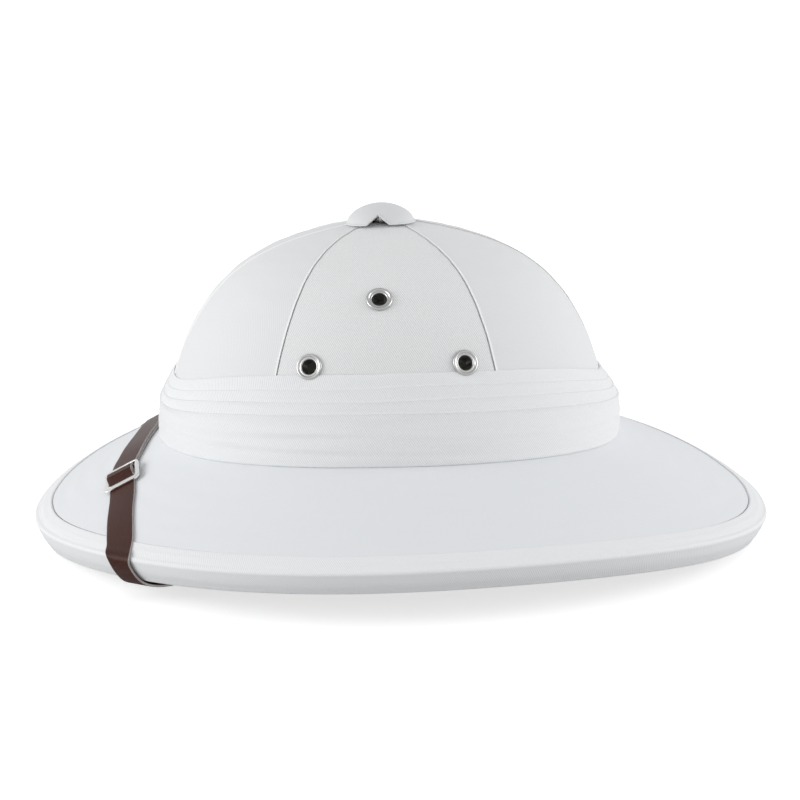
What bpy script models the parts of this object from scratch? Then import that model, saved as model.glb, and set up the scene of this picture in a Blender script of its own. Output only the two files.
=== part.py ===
"""White pith helmet with a pleated puggaree, a vent button and a leather chin strap.

Units are metres, +Z is up and the floor is z = 0. The front of the hat looks along -Y and its left
side along +X. Angles round the hat, called turns, start at the front and grow towards the left side.
"""

import math

import bmesh
import bpy
import numpy as np
from mathutils import Vector

# Rim: plan outline, height off the floor and section of the edge
rim_half_length = 0.175
rim_half_width = 0.152
rim_front_fullness = 0.07
rim_front_taper = 0.149
rim_side_rise = 0.0165
rim_rest_share = 0.13
rim_rise_power = 1.34
edge_height = 0.0112
edge_undercut = 0.0061
edge_round = 0.0016
rest_width = 0.0070

# Crown: base ellipse, its saddle, its height and its section
crown_half_length = 0.1045
crown_half_width = 0.0900
crown_centre_y = -0.0070
base_height = 0.0495
base_side_rise = 0.0078
crown_height = 0.0925
peak_height = 0.0062
peak_reach = 0.33
side_fullness = 3.18
top_fullness = 1.75

# Walls and the clearance that separate pieces keep
cloth = 0.0012
clearance = 0.0003
crown_wall = 0.0040
brim_wall = 0.0070
binding_width = 0.0103
turns_round = 48
crown_rows = (0.0, 0.14, 0.30, 0.46, 0.62, 0.77, 0.90)
crown_points = len(crown_rows) + 2
probe = 0.001

# Crown panels: the seams' turns in degrees, and the piece that starts at each of them
seam_gap = 0.0004
seams = (
    ("panel_left_front", 0),
    ("panel_left", 53),
    ("panel_left_rear", 115),
    ("panel_right_rear", 180),
    ("panel_right", 245),
    ("panel_right_front", 307),
)

# Puggaree: height above the brim at the sides, how much less it is at front and back, thickness
puggaree_height = 0.0380
puggaree_end_drop = 0.0100
puggaree_drop_power = 6
puggaree_thickness = 0.0046
puggaree_back_extra = 0.0026
puggaree_back_power = 4
puggaree_foot_share = 0.86
puggaree_folds = (
    # height share, thickness share
    (1.000, 0.25),
    (0.872, 0.33),
    (0.848, 0.58),
    (0.738, 0.54),
    (0.715, 0.80),
    (0.592, 0.74),
    (0.568, 1.00),
    (0.300, 0.97),
)
puggaree_inner_rows = (0.015, 0.160, 0.320, 0.550, 0.780, 1.000)

# Vent button, a little forward of the crown's middle, and its hidden stem
button_forward = 0.0035
button_radius = 0.0165
button_height = 0.0093
button_wall = 0.0014
button_angles = (90.0, 66.0, 46.0, 28.0, 12.0, 0.0)
button_steps = 24
notch_width = 0.0117
notch_height = 0.0052
notch_turn = math.radians(82)
notch_margin = 0.2
notch_reach = 0.0215
stem_radius = 0.0028
stem_foot_radius = 0.0100
stem_foot_height = 0.0015
stem_steps = 16
crown_hole_radius = 0.0072

# Eyelets: the turn and the height of each above the brim, mirrored to the right side
eyelet_flange_radius = 0.0059
eyelet_flange_height = 0.0012
eyelet_hole_radius = 0.0033
eyelet_wall = 0.0006
eyelet_end = 0.0008
eyelet_lip = 0.00055
eyelet_shoulder = 0.00085
small_steps = 12
drill_steps = 16
eyelets = (
    # name, turn in degrees, share of the crown's height above the brim
    ("front", 63.0, 0.4454),
    ("top", 81.5, 0.7265),
    ("rear", 105.7, 0.4497),
)

# Chin strap, its slider and its anchors
strap_width = 0.0130
strap_thickness = 0.0010
strap_left_turn = 38.6
strap_right_turn = 47.8
strap_end_turn = 82.0
strap_end_share = 0.22
slider_place_x = 0.0310
slider_width = 0.0180
slider_length = 0.0165
slider_bar = 0.0021
slider_thickness = 0.0013
slider_corner = 0.0025
slider_window_corner = 0.0003
weave_reach = 1.35
fold_slack = 0.0004
tail_end_x = -0.0480
end_run = 0.0100
end_over = 0.0064
anchor_radius = 0.0040
anchor_head = 0.0012
anchor_round = 0.0008
anchor_pin_radius = 0.0015
anchor_pin_depth = 0.0040

# Route of the strap over the brim, from the right edge to the left edge
strap_route = (
    # turn in degrees, share of the brim's width
    (-46.5, 0.885),
    (-43.5, 0.730),
    (-38.0, 0.500),
    (-30.0, 0.290),
    (-20.0, 0.190),
    (-9.0, 0.172),
    (3.0, 0.252),
    (9.0, 0.325),
    (16.0, 0.405),
    (24.5, 0.540),
    (32.0, 0.730),
    (36.8, 0.885),
)

# Route of the strap round the rim's edge and on under the brim
strap_edge = (
    # extra turn in degrees, share of the edge's height below its crease
    (0.9, 0.00),
    (1.4, 0.50),
    (1.9, 1.00),
)

# Way of the left strap through the slider: under its near bar, over its middle bar, under its far bar
strap_weave = (
    # place along the strap as a share of the bars' spacing, level it rises from, share of the rise
    (-1.15, "low", 0.00),
    (-1.00, "low", 0.00),
    (-0.80, "low", 0.00),
    (-0.52, "low", 0.50),
    (-0.27, "second", 0.96),
    (0.00, "second", 1.00),
    (0.27, "second", 1.00),
    (0.45, "second", 0.76),
    (0.62, "second", 0.32),
    (0.78, "second", 0.00),
    (1.00, "second", 0.00),
    (1.18, "second", 0.00),
)

# Fold of the right strap round the slider's middle bar
fold_angles = (270.0, 236.0, 202.0, 168.0, 134.0, 100.0)
fold_start = 1.18
fold_near = 0.50
fold_tail = 0.20


def material(name, colour, roughness, metallic=0.0):
    """One Principled material."""
    made = bpy.data.materials.new(name)
    made.use_nodes = True
    shader = made.node_tree.nodes["Principled BSDF"]
    shader.inputs["Base Color"].default_value = (*colour, 1.0)
    shader.inputs["Roughness"].default_value = roughness
    shader.inputs["Metallic"].default_value = metallic
    return made


def rim_plan(turn):
    """The rim's outer edge seen from above: an ellipse that is narrower at its front tip."""
    sine, cosine = np.sin(turn), np.cos(turn)
    fullness = 1.0 + rim_front_fullness * cosine - rim_front_taper * cosine ** 3
    return np.stack([rim_half_width * sine * fullness, -rim_half_length * cosine], -1)


def rim_rise(turn):
    """Height of the rim's underside: flat on the floor at front and back, raised at the sides."""
    ramp = np.clip(np.abs(np.sin(turn)) - rim_rest_share, 0.0, 1.0) / (1.0 - rim_rest_share)
    return rim_side_rise * ramp ** rim_rise_power


def crown_plan(turn):
    """The crown's base ellipse seen from above, measured from the crown's centre."""
    return np.stack([crown_half_width * np.sin(turn), -crown_half_length * np.cos(turn)], -1)


def base_level(turn):
    """Height of the corner between crown and brim, a little higher at the sides."""
    return base_height + base_side_rise * np.sin(turn) ** 2


def brim_fall(turn):
    """How much the brim's top falls for each unit that it runs outwards."""
    across = np.linalg.norm(rim_plan(turn) - crown_plan(turn) - (0.0, crown_centre_y), axis=-1)
    return (base_level(turn) - rim_rise(turn) - edge_height) / across


def crown_level(turn, share):
    """Height of the crown where its section is share times as wide as its base."""
    sine = np.sqrt(np.clip(1.0 - share ** side_fullness, 0.0, 1.0))
    level = sine ** (2.0 / top_fullness)
    peak = peak_height * np.exp(-(share / peak_reach) ** 2)
    return base_level(turn) * (1.0 - level) + (base_height + crown_height) * level + peak


def crown_share(turn, above_brim):
    """Width of the crown, as a share of its base, at a height above the brim."""
    full = base_height + crown_height - base_level(turn)
    level = np.clip(above_brim / full, 0.0, 1.0)
    return (1.0 - level ** top_fullness) ** (1.0 / side_fullness)


def turn_list():
    """The turns of all the sections, evenly spaced."""
    return np.arange(turns_round) * 2.0 * math.pi / turns_round


def to_space(turn, section):
    """Points of a section, as reach from the crown's axis and height, placed round the hat."""
    base = crown_plan(turn)
    reach = np.linalg.norm(base, axis=-1)
    inward = base / reach[:, None]
    outward = rim_plan(turn) - (base + (0.0, crown_centre_y))
    outward = outward / np.linalg.norm(outward, axis=-1)[:, None]
    inside = np.minimum(section[..., 0], reach[:, None])
    outside = np.maximum(section[..., 0] - reach[:, None], 0.0)
    plan = inward[:, None] * inside[..., None] + outward[:, None] * outside[..., None]
    plan[..., 1] += crown_centre_y
    return np.concatenate([plan, section[..., 1:]], -1)


def crown_section(turn, shares):
    """Outer surface of the crown at each share of its base width."""
    reach = np.linalg.norm(crown_plan(turn), axis=-1)[:, None]
    return np.stack([reach * shares, crown_level(turn[:, None], shares)], -1)


def outer_section(turn):
    """Outer surface of the whole hat, from the crown's hole to the inner edge of its rim."""
    reach = np.linalg.norm(crown_plan(turn), axis=-1)
    rows = np.array(crown_rows[::-1]) * math.pi / 2.0
    shares = np.cos(rows) ** (2.0 / side_fullness)
    shares = np.repeat(shares[None], len(turn), 0)
    top = (crown_hole_radius / reach)[:, None]
    crown = crown_section(turn, np.concatenate([top, (top + shares[:, :1]) / 2.0, shares], 1))
    base = np.stack([reach, base_level(turn)], -1)
    across = np.linalg.norm(rim_plan(turn) - crown_plan(turn) - (0.0, crown_centre_y), axis=-1)
    crease = np.stack([reach + across, rim_rise(turn) + edge_height], -1)
    slope = (crease - base) / np.linalg.norm(crease - base, axis=-1)[:, None]
    edge = np.array([-edge_undercut, -edge_height])
    down = edge / np.linalg.norm(edge)
    corner = crease + edge
    brim = [
        base + (crease - base) * 0.5,
        crease - slope * binding_width,
        crease - slope * edge_round,
        crease + down * edge_round,
        corner - down * edge_round,
        corner + (-edge_round, 0.0),
        corner + (-edge_round - rest_width, 0.0),
    ]
    return np.concatenate([crown, np.stack(brim, 1)], 1)


def inset(section, distance):
    """The section moved towards its inside, with mitred corners."""
    step = np.diff(section, axis=1)
    normal = np.stack([step[..., 1], -step[..., 0]], -1)
    normal = normal / np.linalg.norm(normal, axis=-1)[..., None]
    before = np.concatenate([normal[:, :1], normal], 1)
    after = np.concatenate([normal, normal[:, -1:]], 1)
    mitre = (before + after) / (1.0 + np.sum(before * after, -1))[..., None]
    return section + mitre * distance


def add_object(name, mesh, finish, home):
    """An object with its material, linked to a collection."""
    thing = bpy.data.objects.new(name, mesh)
    home.objects.link(thing)
    mesh.materials.append(finish)
    return thing


def face_outwards(work):
    """Turns all the faces of one closed body outwards."""
    bmesh.ops.recalc_face_normals(work, faces=work.faces)
    if work.calc_volume(signed=True) < 0.0:
        bmesh.ops.reverse_faces(work, faces=work.faces)


def closed_mesh(name, points, faces, smooth_angle=40.0):
    """A mesh from points and faces with its faces turned outwards and smooth shading."""
    mesh = bpy.data.meshes.new(name)
    mesh.from_pydata(points.tolist(), [], faces)
    work = bmesh.new()
    work.from_mesh(mesh)
    face_outwards(work)
    work.to_mesh(mesh)
    work.free()
    mesh.shade_smooth()
    mesh.set_sharp_from_angle(angle=math.radians(smooth_angle))
    return mesh


def grid_faces(columns, rows, wrap_columns, wrap_rows):
    """Four-sided faces of a grid of points, closed across its columns and rows where asked."""
    last_column = columns if wrap_columns else columns - 1
    last_row = rows if wrap_rows else rows - 1
    faces = []
    for column in range(last_column):
        for row in range(last_row):
            beside = (column + 1) % columns
            below = (row + 1) % rows
            faces.append((
                column * rows + row,
                column * rows + below,
                beside * rows + below,
                beside * rows + row,
            ))
    return faces


def ring(name, loops, finish, home):
    """A closed ring round the hat, from one closed loop of points at each turn."""
    columns, rows = loops.shape[:2]
    faces = grid_faces(columns, rows, True, True)
    return add_object(name, closed_mesh(name, loops.reshape(-1, 3), faces), finish, home)


def strip(name, loops, finish, home):
    """A bar from one closed loop of points at each station, with its two ends closed."""
    columns, rows = loops.shape[:2]
    faces = grid_faces(columns, rows, False, True)
    pairs = rows // 2
    for start in (0, (columns - 1) * rows):
        for pair in range(pairs - 1):
            faces.append((
                start + pair,
                start + pair + 1,
                start + rows - 2 - pair,
                start + rows - 1 - pair,
            ))
    return add_object(name, closed_mesh(name, loops.reshape(-1, 3), faces), finish, home)


def turned(name, profile, steps, finish, home):
    """A turned piece: a profile of radius and height round its own Z axis, solid or with a bore."""
    mesh = bpy.data.meshes.new(name)
    edges = [(index, index + 1) for index in range(len(profile) - 1)]
    if profile[0][0] > 0.0:
        edges.append((len(profile) - 1, 0))
    mesh.from_pydata([(radius, 0.0, height) for radius, height in profile], edges, [])
    thing = add_object(name, mesh, finish, home)
    screw = thing.modifiers.new("Turn", "SCREW")
    screw.steps = steps
    screw.render_steps = steps
    screw.use_merge_vertices = True
    screw.merge_threshold = 0.00001
    screw.use_smooth_shade = True
    return thing


def cut(thing, cutter):
    """Takes a cutter's volume out of a piece."""
    boolean = thing.modifiers.new("Cut", "BOOLEAN")
    boolean.operation = "DIFFERENCE"
    boolean.object = cutter
    boolean.solver = "EXACT"


def pins(name, places, radius, above, below, home):
    """Cutters: one round pin at each place, along the place's own direction."""
    work = bmesh.new()
    for point, direction in places:
        middle = Vector(point) + Vector(direction) * (above - below) / 2.0
        turn = Vector(direction).to_track_quat("Z", "Y").to_matrix().to_4x4()
        turn.translation = middle
        bmesh.ops.create_cone(work, cap_ends=True, segments=drill_steps, radius1=radius,
                              radius2=radius, depth=above + below, matrix=turn)
    mesh = bpy.data.meshes.new(name)
    work.to_mesh(mesh)
    work.free()
    thing = bpy.data.objects.new(name, mesh)
    home.objects.link(thing)
    thing.hide_render = True
    thing.display_type = "WIRE"
    return thing


def crown_place(turn, above_brim):
    """A point on the crown's outer surface and the direction square to it."""
    def at(angle, height):
        turns = np.array([angle])
        return to_space(turns, crown_section(turns, crown_share(turns, height)[:, None]))[0, 0]

    along = at(turn + probe, above_brim) - at(turn - probe, above_brim)
    up = at(turn, above_brim + probe) - at(turn, above_brim - probe)
    normal = np.cross(along, up)
    return at(turn, above_brim), normal / np.linalg.norm(normal)


def brim_place(turns, shares):
    """Points on the brim's top, from its corner (0) to its crease (1), and their normals."""
    def at(turn, share):
        base = crown_plan(turn) + (0.0, crown_centre_y)
        low = np.concatenate([base, base_level(turn)[:, None]], -1)
        high = np.concatenate([rim_plan(turn), (rim_rise(turn) + edge_height)[:, None]], -1)
        return low + (high - low) * share[:, None]

    along = at(turns + probe, shares) - at(turns - probe, shares)
    out = at(turns, shares + probe) - at(turns, shares - probe)
    normal = np.cross(out, along)
    return at(turns, shares), normal / np.linalg.norm(normal, axis=-1)[:, None]


def smooth_route(points, steps):
    """A smooth line through the points, with a number of steps between neighbours."""
    points = np.array(points, float)
    padded = np.concatenate([2 * points[:1] - points[1:2], points, 2 * points[-1:] - points[-2:-1]])
    share = np.linspace(0.0, 1.0, steps, endpoint=False)[:, None]
    parts = []
    for index in range(1, len(points)):
        before, start, end, after = padded[index - 1:index + 3]
        parts.append(0.5 * (
            2.0 * start
            + (end - before) * share
            + (2.0 * before - 5.0 * start + 4.0 * end - after) * share ** 2
            + (3.0 * start - before - 3.0 * end + after) * share ** 3
        ))
    return np.concatenate(parts + [points[-1:]])


def unit(vectors):
    """Vectors scaled to length one."""
    return vectors / np.linalg.norm(vectors, axis=-1, keepdims=True)


def make_shell(finish, home):
    """Crown and brim in one piece, open below, with its hole for the stem."""
    turn = turn_list()
    outline = outer_section(turn)
    outside = inset(outline, cloth + clearance)
    base = outline[:, crown_points - 1]
    slope = unit(outline[:, crown_points] - base)
    wall = cloth + clearance + crown_wall
    depth = cloth + clearance + brim_wall
    corner = base + np.stack([
        np.full(len(turn), -wall),
        -depth / slope[:, 0] - wall * slope[:, 1] / slope[:, 0],
    ], -1)
    inside = [inset(outline, depth)[:, crown_points], corner]
    inside += [inset(outline, wall)[:, row] for row in range(crown_points - 2, -1, -1)]
    keep = [row for row in range(outline.shape[1]) if row != crown_points + 1]
    loop = np.concatenate([outside[:, keep], np.stack(inside, 1)], 1)
    return ring("helmet_shell", to_space(turn, loop), finish, home)


def make_brim_cover(finish, home):
    """The cloth on the brim's top, between the crown and the binding."""
    turn = turn_list()
    outline = outer_section(turn)
    inner = inset(outline, cloth)
    base, seam = outline[:, crown_points - 1], outline[:, crown_points + 1]
    slope = unit(seam - base)
    start = slope * (cloth + clearance)
    rows = [
        base + start,
        outline[:, crown_points],
        seam - slope * clearance,
        inner[:, crown_points + 1] - slope * clearance,
        inner[:, crown_points],
        inner[:, crown_points - 1] + start,
    ]
    return ring("brim_cover", to_space(turn, np.stack(rows, 1)), finish, home)


def make_binding(finish, home):
    """The cloth binding wrapped round the rim, from its seam on top to its edge below."""
    turn = turn_list()
    outline = outer_section(turn)
    outer = outline[:, crown_points + 1:]
    inner = inset(outline, cloth)[:, crown_points + 1:]
    loop = np.concatenate([outer, inner[:, ::-1]], 1)
    return ring("brim_binding", to_space(turn, loop), finish, home)


def make_panels(finish, home):
    """The crown's six cloth panels, with a narrow gap at each seam."""
    made = {}
    names = [name for name, start in seams]
    starts = [start for name, start in seams] + [360]
    spacing = 360.0 / turns_round
    for name, start, end in zip(names, starts, starts[1:]):
        inner_turns = np.arange(math.floor(start / spacing) + 1, math.ceil(end / spacing)) * spacing
        turn = np.radians(np.concatenate([[start], inner_turns, [end]]))
        outline = outer_section(turn)
        slope = unit(outline[:, crown_points - 2] - outline[:, crown_points - 1])
        outer = outline[:, :crown_points].copy()
        inner = inset(outline, cloth)[:, :crown_points]
        outer[:, -1] += slope * (cloth + clearance)
        inner[:, -1] += slope * (cloth + clearance)
        loop = to_space(turn, np.concatenate([outer, inner[:, ::-1]], 1))
        loop[0] += unit(loop[1] - loop[0]) * seam_gap / 2.0
        loop[-1] += unit(loop[-2] - loop[-1]) * seam_gap / 2.0
        made[name] = strip(name, loop, finish, home)
    return made


def make_puggaree(finish, home):
    """The folded cloth band at the crown's foot: three pleats above a wide plain part."""
    turn = turn_list()
    reach = np.linalg.norm(crown_plan(turn), axis=-1)
    full = puggaree_height - puggaree_end_drop * np.cos(turn) ** puggaree_drop_power
    back = np.maximum(-np.cos(turn), 0.0) ** puggaree_back_power
    thick = puggaree_thickness + puggaree_back_extra * back
    foot = thick * puggaree_foot_share

    def row(above, thickness):
        share = crown_share(turn, np.maximum(above, 0.0))
        return np.stack([reach * share + thickness, base_level(turn) + above], -1)

    outside = [row(full * height, thick * share) for height, share in puggaree_folds]
    outside.append(row(clearance * 2.0 - brim_fall(turn) * foot, foot))
    inside = [row(full * height, clearance * 2.0) for height in puggaree_inner_rows]
    return ring("puggaree", to_space_straight(turn, np.stack(outside + inside, 1)), finish, home)


def to_space_straight(turn, section):
    """Points of a section placed round the crown's axis, all in the crown's own direction."""
    inward = unit(crown_plan(turn))
    plan = inward[:, None] * section[..., :1]
    plan[..., 1] += crown_centre_y
    return np.concatenate([plan, section[..., 1:]], -1)


def crown_height_at(reach, depth=0.0):
    """Height of the crown's faceted surface on its middle line, at a depth inside its outside."""
    section = inset(outer_section(np.array([0.0])), depth)[0, :crown_points]
    return float(np.interp(reach, section[:, 0], section[:, 1]))


def button_seat():
    """Height of the middle of the button's lower edge, and the button's lean to the front."""
    back = crown_height_at(button_radius - button_forward)
    front = crown_height_at(button_radius + button_forward)
    return (back + front) / 2.0 + clearance, math.asin((back - front) / (2.0 * button_radius))


def make_button(finish, home, cutters):
    """The domed vent button, open below, with an inverted V notch on each side."""
    inner_radius = button_radius - button_wall
    inner_height = button_height - button_wall
    angles = np.radians(button_angles)
    outside = [(button_radius * math.cos(a), button_height * math.sin(a)) for a in angles]
    inside = [(inner_radius * math.cos(a), inner_height * math.sin(a)) for a in angles[::-1]]
    outside[0] = (0.0, button_height)
    inside[-1] = (0.0, inner_height)
    button = turned("vent_button", outside + inside, button_steps, finish, home)
    level, lean = button_seat()
    button.location = (0.0, crown_centre_y - button_forward, level)
    button.rotation_euler = (lean, 0.0, 0.0)
    bpy.ops.mesh.primitive_cylinder_add(vertices=3, radius=1.0, depth=1.0)
    notch = bpy.context.object
    notch.name = "notch_cutter"
    work = bmesh.new()
    work.from_mesh(notch.data)
    top = max(point.co.y for point in work.verts)
    low = min(point.co.y for point in work.verts)
    wide = max(point.co.x for point in work.verts)
    for point in work.verts:
        height = (point.co.y - low) / (top - low) * (1.0 + notch_margin) - notch_margin
        across = point.co.x / wide * notch_width / 2.0 * (1.0 + notch_margin)
        point.co = (point.co.z * 2.0 * notch_reach, across, height * notch_height)
    face_outwards(work)
    work.to_mesh(notch.data)
    work.free()
    notch.location = button.location
    notch.rotation_euler = (0.0, 0.0, notch_turn - math.pi / 2.0)
    notch.hide_render = True
    notch.display_type = "WIRE"
    for collection in list(notch.users_collection):
        collection.objects.unlink(notch)
    cutters.objects.link(notch)
    cut(button, notch)


def make_stem(finish, home):
    """The plain post that holds the button, with its foot inside the crown."""
    angle = math.radians(button_angles[1])
    inner_height = button_height - button_wall
    slope = (1.0 - math.sin(angle)) * inner_height / ((button_radius - button_wall) * math.cos(angle))
    top = button_seat()[0] + inner_height - slope * stem_radius - clearance
    wall = cloth + clearance + crown_wall
    foot_top = crown_height_at(stem_foot_radius + button_forward, wall) - clearance
    profile = [
        (0.0, top),
        (stem_radius, top),
        (stem_radius, foot_top),
        (stem_foot_radius, foot_top),
        (stem_foot_radius, foot_top - stem_foot_height),
        (0.0, foot_top - stem_foot_height),
    ]
    stem = turned("vent_stem", profile, stem_steps, finish, home)
    stem.location = (0.0, crown_centre_y - button_forward, 0.0)


def eyelet_places():
    """Each eyelet's name, point and direction on the crown, on both sides."""
    places = []
    for label, turn, height in eyelets:
        point, normal = crown_place(math.radians(turn), height * crown_height)
        mirror = np.array([-1.0, 1.0, 1.0])
        places.append(("eyelet_left_" + label, point, normal))
        places.append(("eyelet_right_" + label, point * mirror, normal * mirror))
    return places


def make_eyelets(places, finish, home):
    """Metal eyelets: a rolled flange outside and a barrel through cloth and shell."""
    barrel = eyelet_hole_radius + eyelet_wall
    depth = cloth + clearance + crown_wall + eyelet_end
    bead = (eyelet_hole_radius + eyelet_flange_radius) / 2.0
    profile = [
        (eyelet_hole_radius, eyelet_lip),
        (bead, eyelet_flange_height),
        (eyelet_flange_radius, eyelet_shoulder),
        (eyelet_flange_radius, clearance),
        (barrel, clearance),
        (barrel, -depth),
        (eyelet_hole_radius, -depth),
    ]
    for name, point, normal in places:
        eyelet = turned(name, profile, small_steps, finish, home)
        eyelet.location = point
        eyelet.rotation_mode = "QUATERNION"
        eyelet.rotation_quaternion = Vector(normal).to_track_quat("Z", "Y")


def curl_radius(bar):
    """Distance from the middle of a bar to the middle of the strap that is folded round it."""
    return bar / 2.0 + clearance + strap_thickness / 2.0 + fold_slack


def slider_levels():
    """Heights above the brim, at the slider, of each strap's middle and of each bar's middle."""
    low = clearance + strap_thickness / 2.0
    second = low + strap_thickness + clearance
    near_bar = 2.0 * clearance + strap_thickness + slider_thickness / 2.0
    far_bar = near_bar + strap_thickness + clearance
    middle_bar = (near_bar + far_bar) / 2.0
    curl = curl_radius(slider_thickness)
    over = middle_bar + curl + strap_thickness + clearance * 1.5
    return {
        "low": low,
        "second": second,
        "near_bar": near_bar,
        "far_bar": far_bar,
        "middle_bar": middle_bar,
        "curl": curl,
        "over": over,
    }


def strap_line():
    """The strap's line on the brim's top: points, normals and sides, right edge to left edge."""
    route = np.array(strap_route)
    route = smooth_route(np.stack([np.radians(route[:, 0]), route[:, 1]], -1), 3)
    points, normals = brim_place(route[:, 0], route[:, 1])
    tangents = unit(np.gradient(points, axis=0))
    return points, normals, unit(np.cross(normals, tangents))


def slider_frame():
    """The slider's place on the brim: its point, the strap's direction, its side, its normal."""
    points, normals, sides = strap_line()
    nearest = int(np.argmin(np.abs(points[:, 0] - slider_place_x)))
    along = unit(np.cross(sides[nearest], normals[nearest]))
    return points[nearest], along, sides[nearest], normals[nearest]


def edge_run(crossing):
    """A left strap's way round the rim's edge and under the brim, past its anchor.

    It gives the strap's middle line and its sides, which lie along the rim where it is folded.
    """
    lift = clearance + strap_thickness / 2.0
    down = unit(np.array([-edge_undercut, -edge_height]))
    face = np.array([-down[1], down[0]])
    points, sides = [], []
    for extra, share in strap_edge:
        turn = np.array([crossing + math.radians(extra)])
        plan = rim_plan(turn)[0]
        outward = unit(plan - crown_plan(turn)[0] - (0.0, crown_centre_y))
        above = brim_place(turn, np.array([1.0]))[1][0]
        top = np.array([np.dot(above[:2], outward), above[2]])
        look = {0.0: unit(top + face), 1.0: unit(face + (0.0, -1.0))}.get(share, face)
        reach = look[0] * lift - edge_undercut * share
        height = rim_rise(turn)[0] + edge_height * (1.0 - share) + look[1] * lift
        points.append(np.array([*(plan + outward * reach), height]))
        plan_step = rim_plan(turn + probe)[0] - rim_plan(turn - probe)[0]
        rise_step = (rim_rise(turn + probe) - rim_rise(turn - probe))[0]
        sides.append(unit(np.array([*plan_step, rise_step])))
    span = edge_round + rest_width + strap_thickness
    under = np.array([points[-1][0], points[-1][1] - span / outward[1], rim_rise(turn)[0] - lift])
    anchor, look = anchor_place()
    heading = anchor - under
    heading = unit(heading - look * np.dot(heading, look))
    start = anchor - heading * end_run
    finish = anchor + heading * end_over
    halfway = (under + start) / 2.0
    flat = unit(np.cross((0.0, 0.0, -1.0), heading))
    held = unit(np.cross(look, heading))
    points += [under, (under + halfway) / 2.0, halfway, start, anchor, finish]
    sides += [sides[-1], flat, unit(flat + held), held, held, held]
    return np.array(points), np.array(sides)


def anchor_place():
    """Middle of the left strap's end under the brim, and the direction that its face looks in."""
    turns = np.array([math.radians(strap_end_turn)])
    point, normal = brim_place(turns, np.array([strap_end_share]))
    depth = cloth + clearance + brim_wall + clearance * 2.0 + strap_thickness / 2.0
    return point[0] - normal[0] * depth, -normal[0]


def ribbon(name, centres, sides, finish, home):
    """A flat strap along its middle line, as wide and thick as the chin strap.

    Its sides need not be square to the line: at an oblique fold they lie along the fold.
    """
    tangents = unit(np.gradient(centres, axis=0))
    square = sides - tangents * np.sum(sides * tangents, -1, keepdims=True)
    normals = unit(np.cross(tangents, square))
    across = sides / np.linalg.norm(square, axis=-1, keepdims=True) * strap_width / 2.0
    thick = normals * strap_thickness / 2.0
    loop = np.stack([
        centres - across + thick,
        centres + across + thick,
        centres + across - thick,
        centres - across - thick,
    ], 1)
    return strip(name, loop, finish, home)


def make_straps(finish, home):
    """The two straps: the left one through the slider and back on top, the right one held by it."""
    level = slider_levels()
    points, normals, sides = strap_line()
    place, along, side, normal = slider_frame()
    # Half the distance between the slider's two outer bars
    pitch = (slider_length - slider_bar) / 2.0
    distance = (points - place) @ along
    reach = pitch * weave_reach

    def at_slider(rows):
        centres = np.array([place - along * ahead + normal * lift for ahead, lift in rows])
        return centres, np.repeat(side[None], len(rows), 0)

    def join(parts):
        return np.concatenate([part[0] for part in parts]), np.concatenate([part[1] for part in parts])

    through = at_slider([
        (ahead * pitch, level[start] + (level["over"] - level[start]) * rise)
        for ahead, start, rise in strap_weave
    ])
    fold = [(
        curl_radius(slider_bar) * math.cos(math.radians(angle)),
        level["middle_bar"] + level["curl"] * math.sin(math.radians(angle)),
    ) for angle in fold_angles]
    fold_lead = [(fold_start * pitch, level["low"]), (fold_near * pitch, level["low"])]
    fold_end = [(fold_tail * pitch, level["middle_bar"] + level["curl"])]
    curl = at_slider(fold_lead + fold + fold_end)
    near = distance > reach
    far = distance < -reach
    left_end = edge_run(math.radians(strap_left_turn))
    right_end = [part * (-1.0, 1.0, 1.0) for part in edge_run(math.radians(strap_right_turn))]
    near_part = points[near] + normals[near] * level["low"], sides[near]
    tail = far & (points[:, 0] > tail_end_x)
    tail_part = points[tail] + normals[tail] * level["second"], sides[tail]
    far_part = points[far] + normals[far] * level["low"], sides[far]

    def turned_back(part):
        return part[0][::-1], part[1][::-1]

    order = [turned_back(left_end), turned_back(near_part), through, turned_back(tail_part)]
    left = ribbon("strap_left", *join(order), finish, home)
    order = [turned_back(right_end), far_part, curl]
    right = ribbon("strap_right", *join(order), finish, home)
    return left, right


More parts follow.
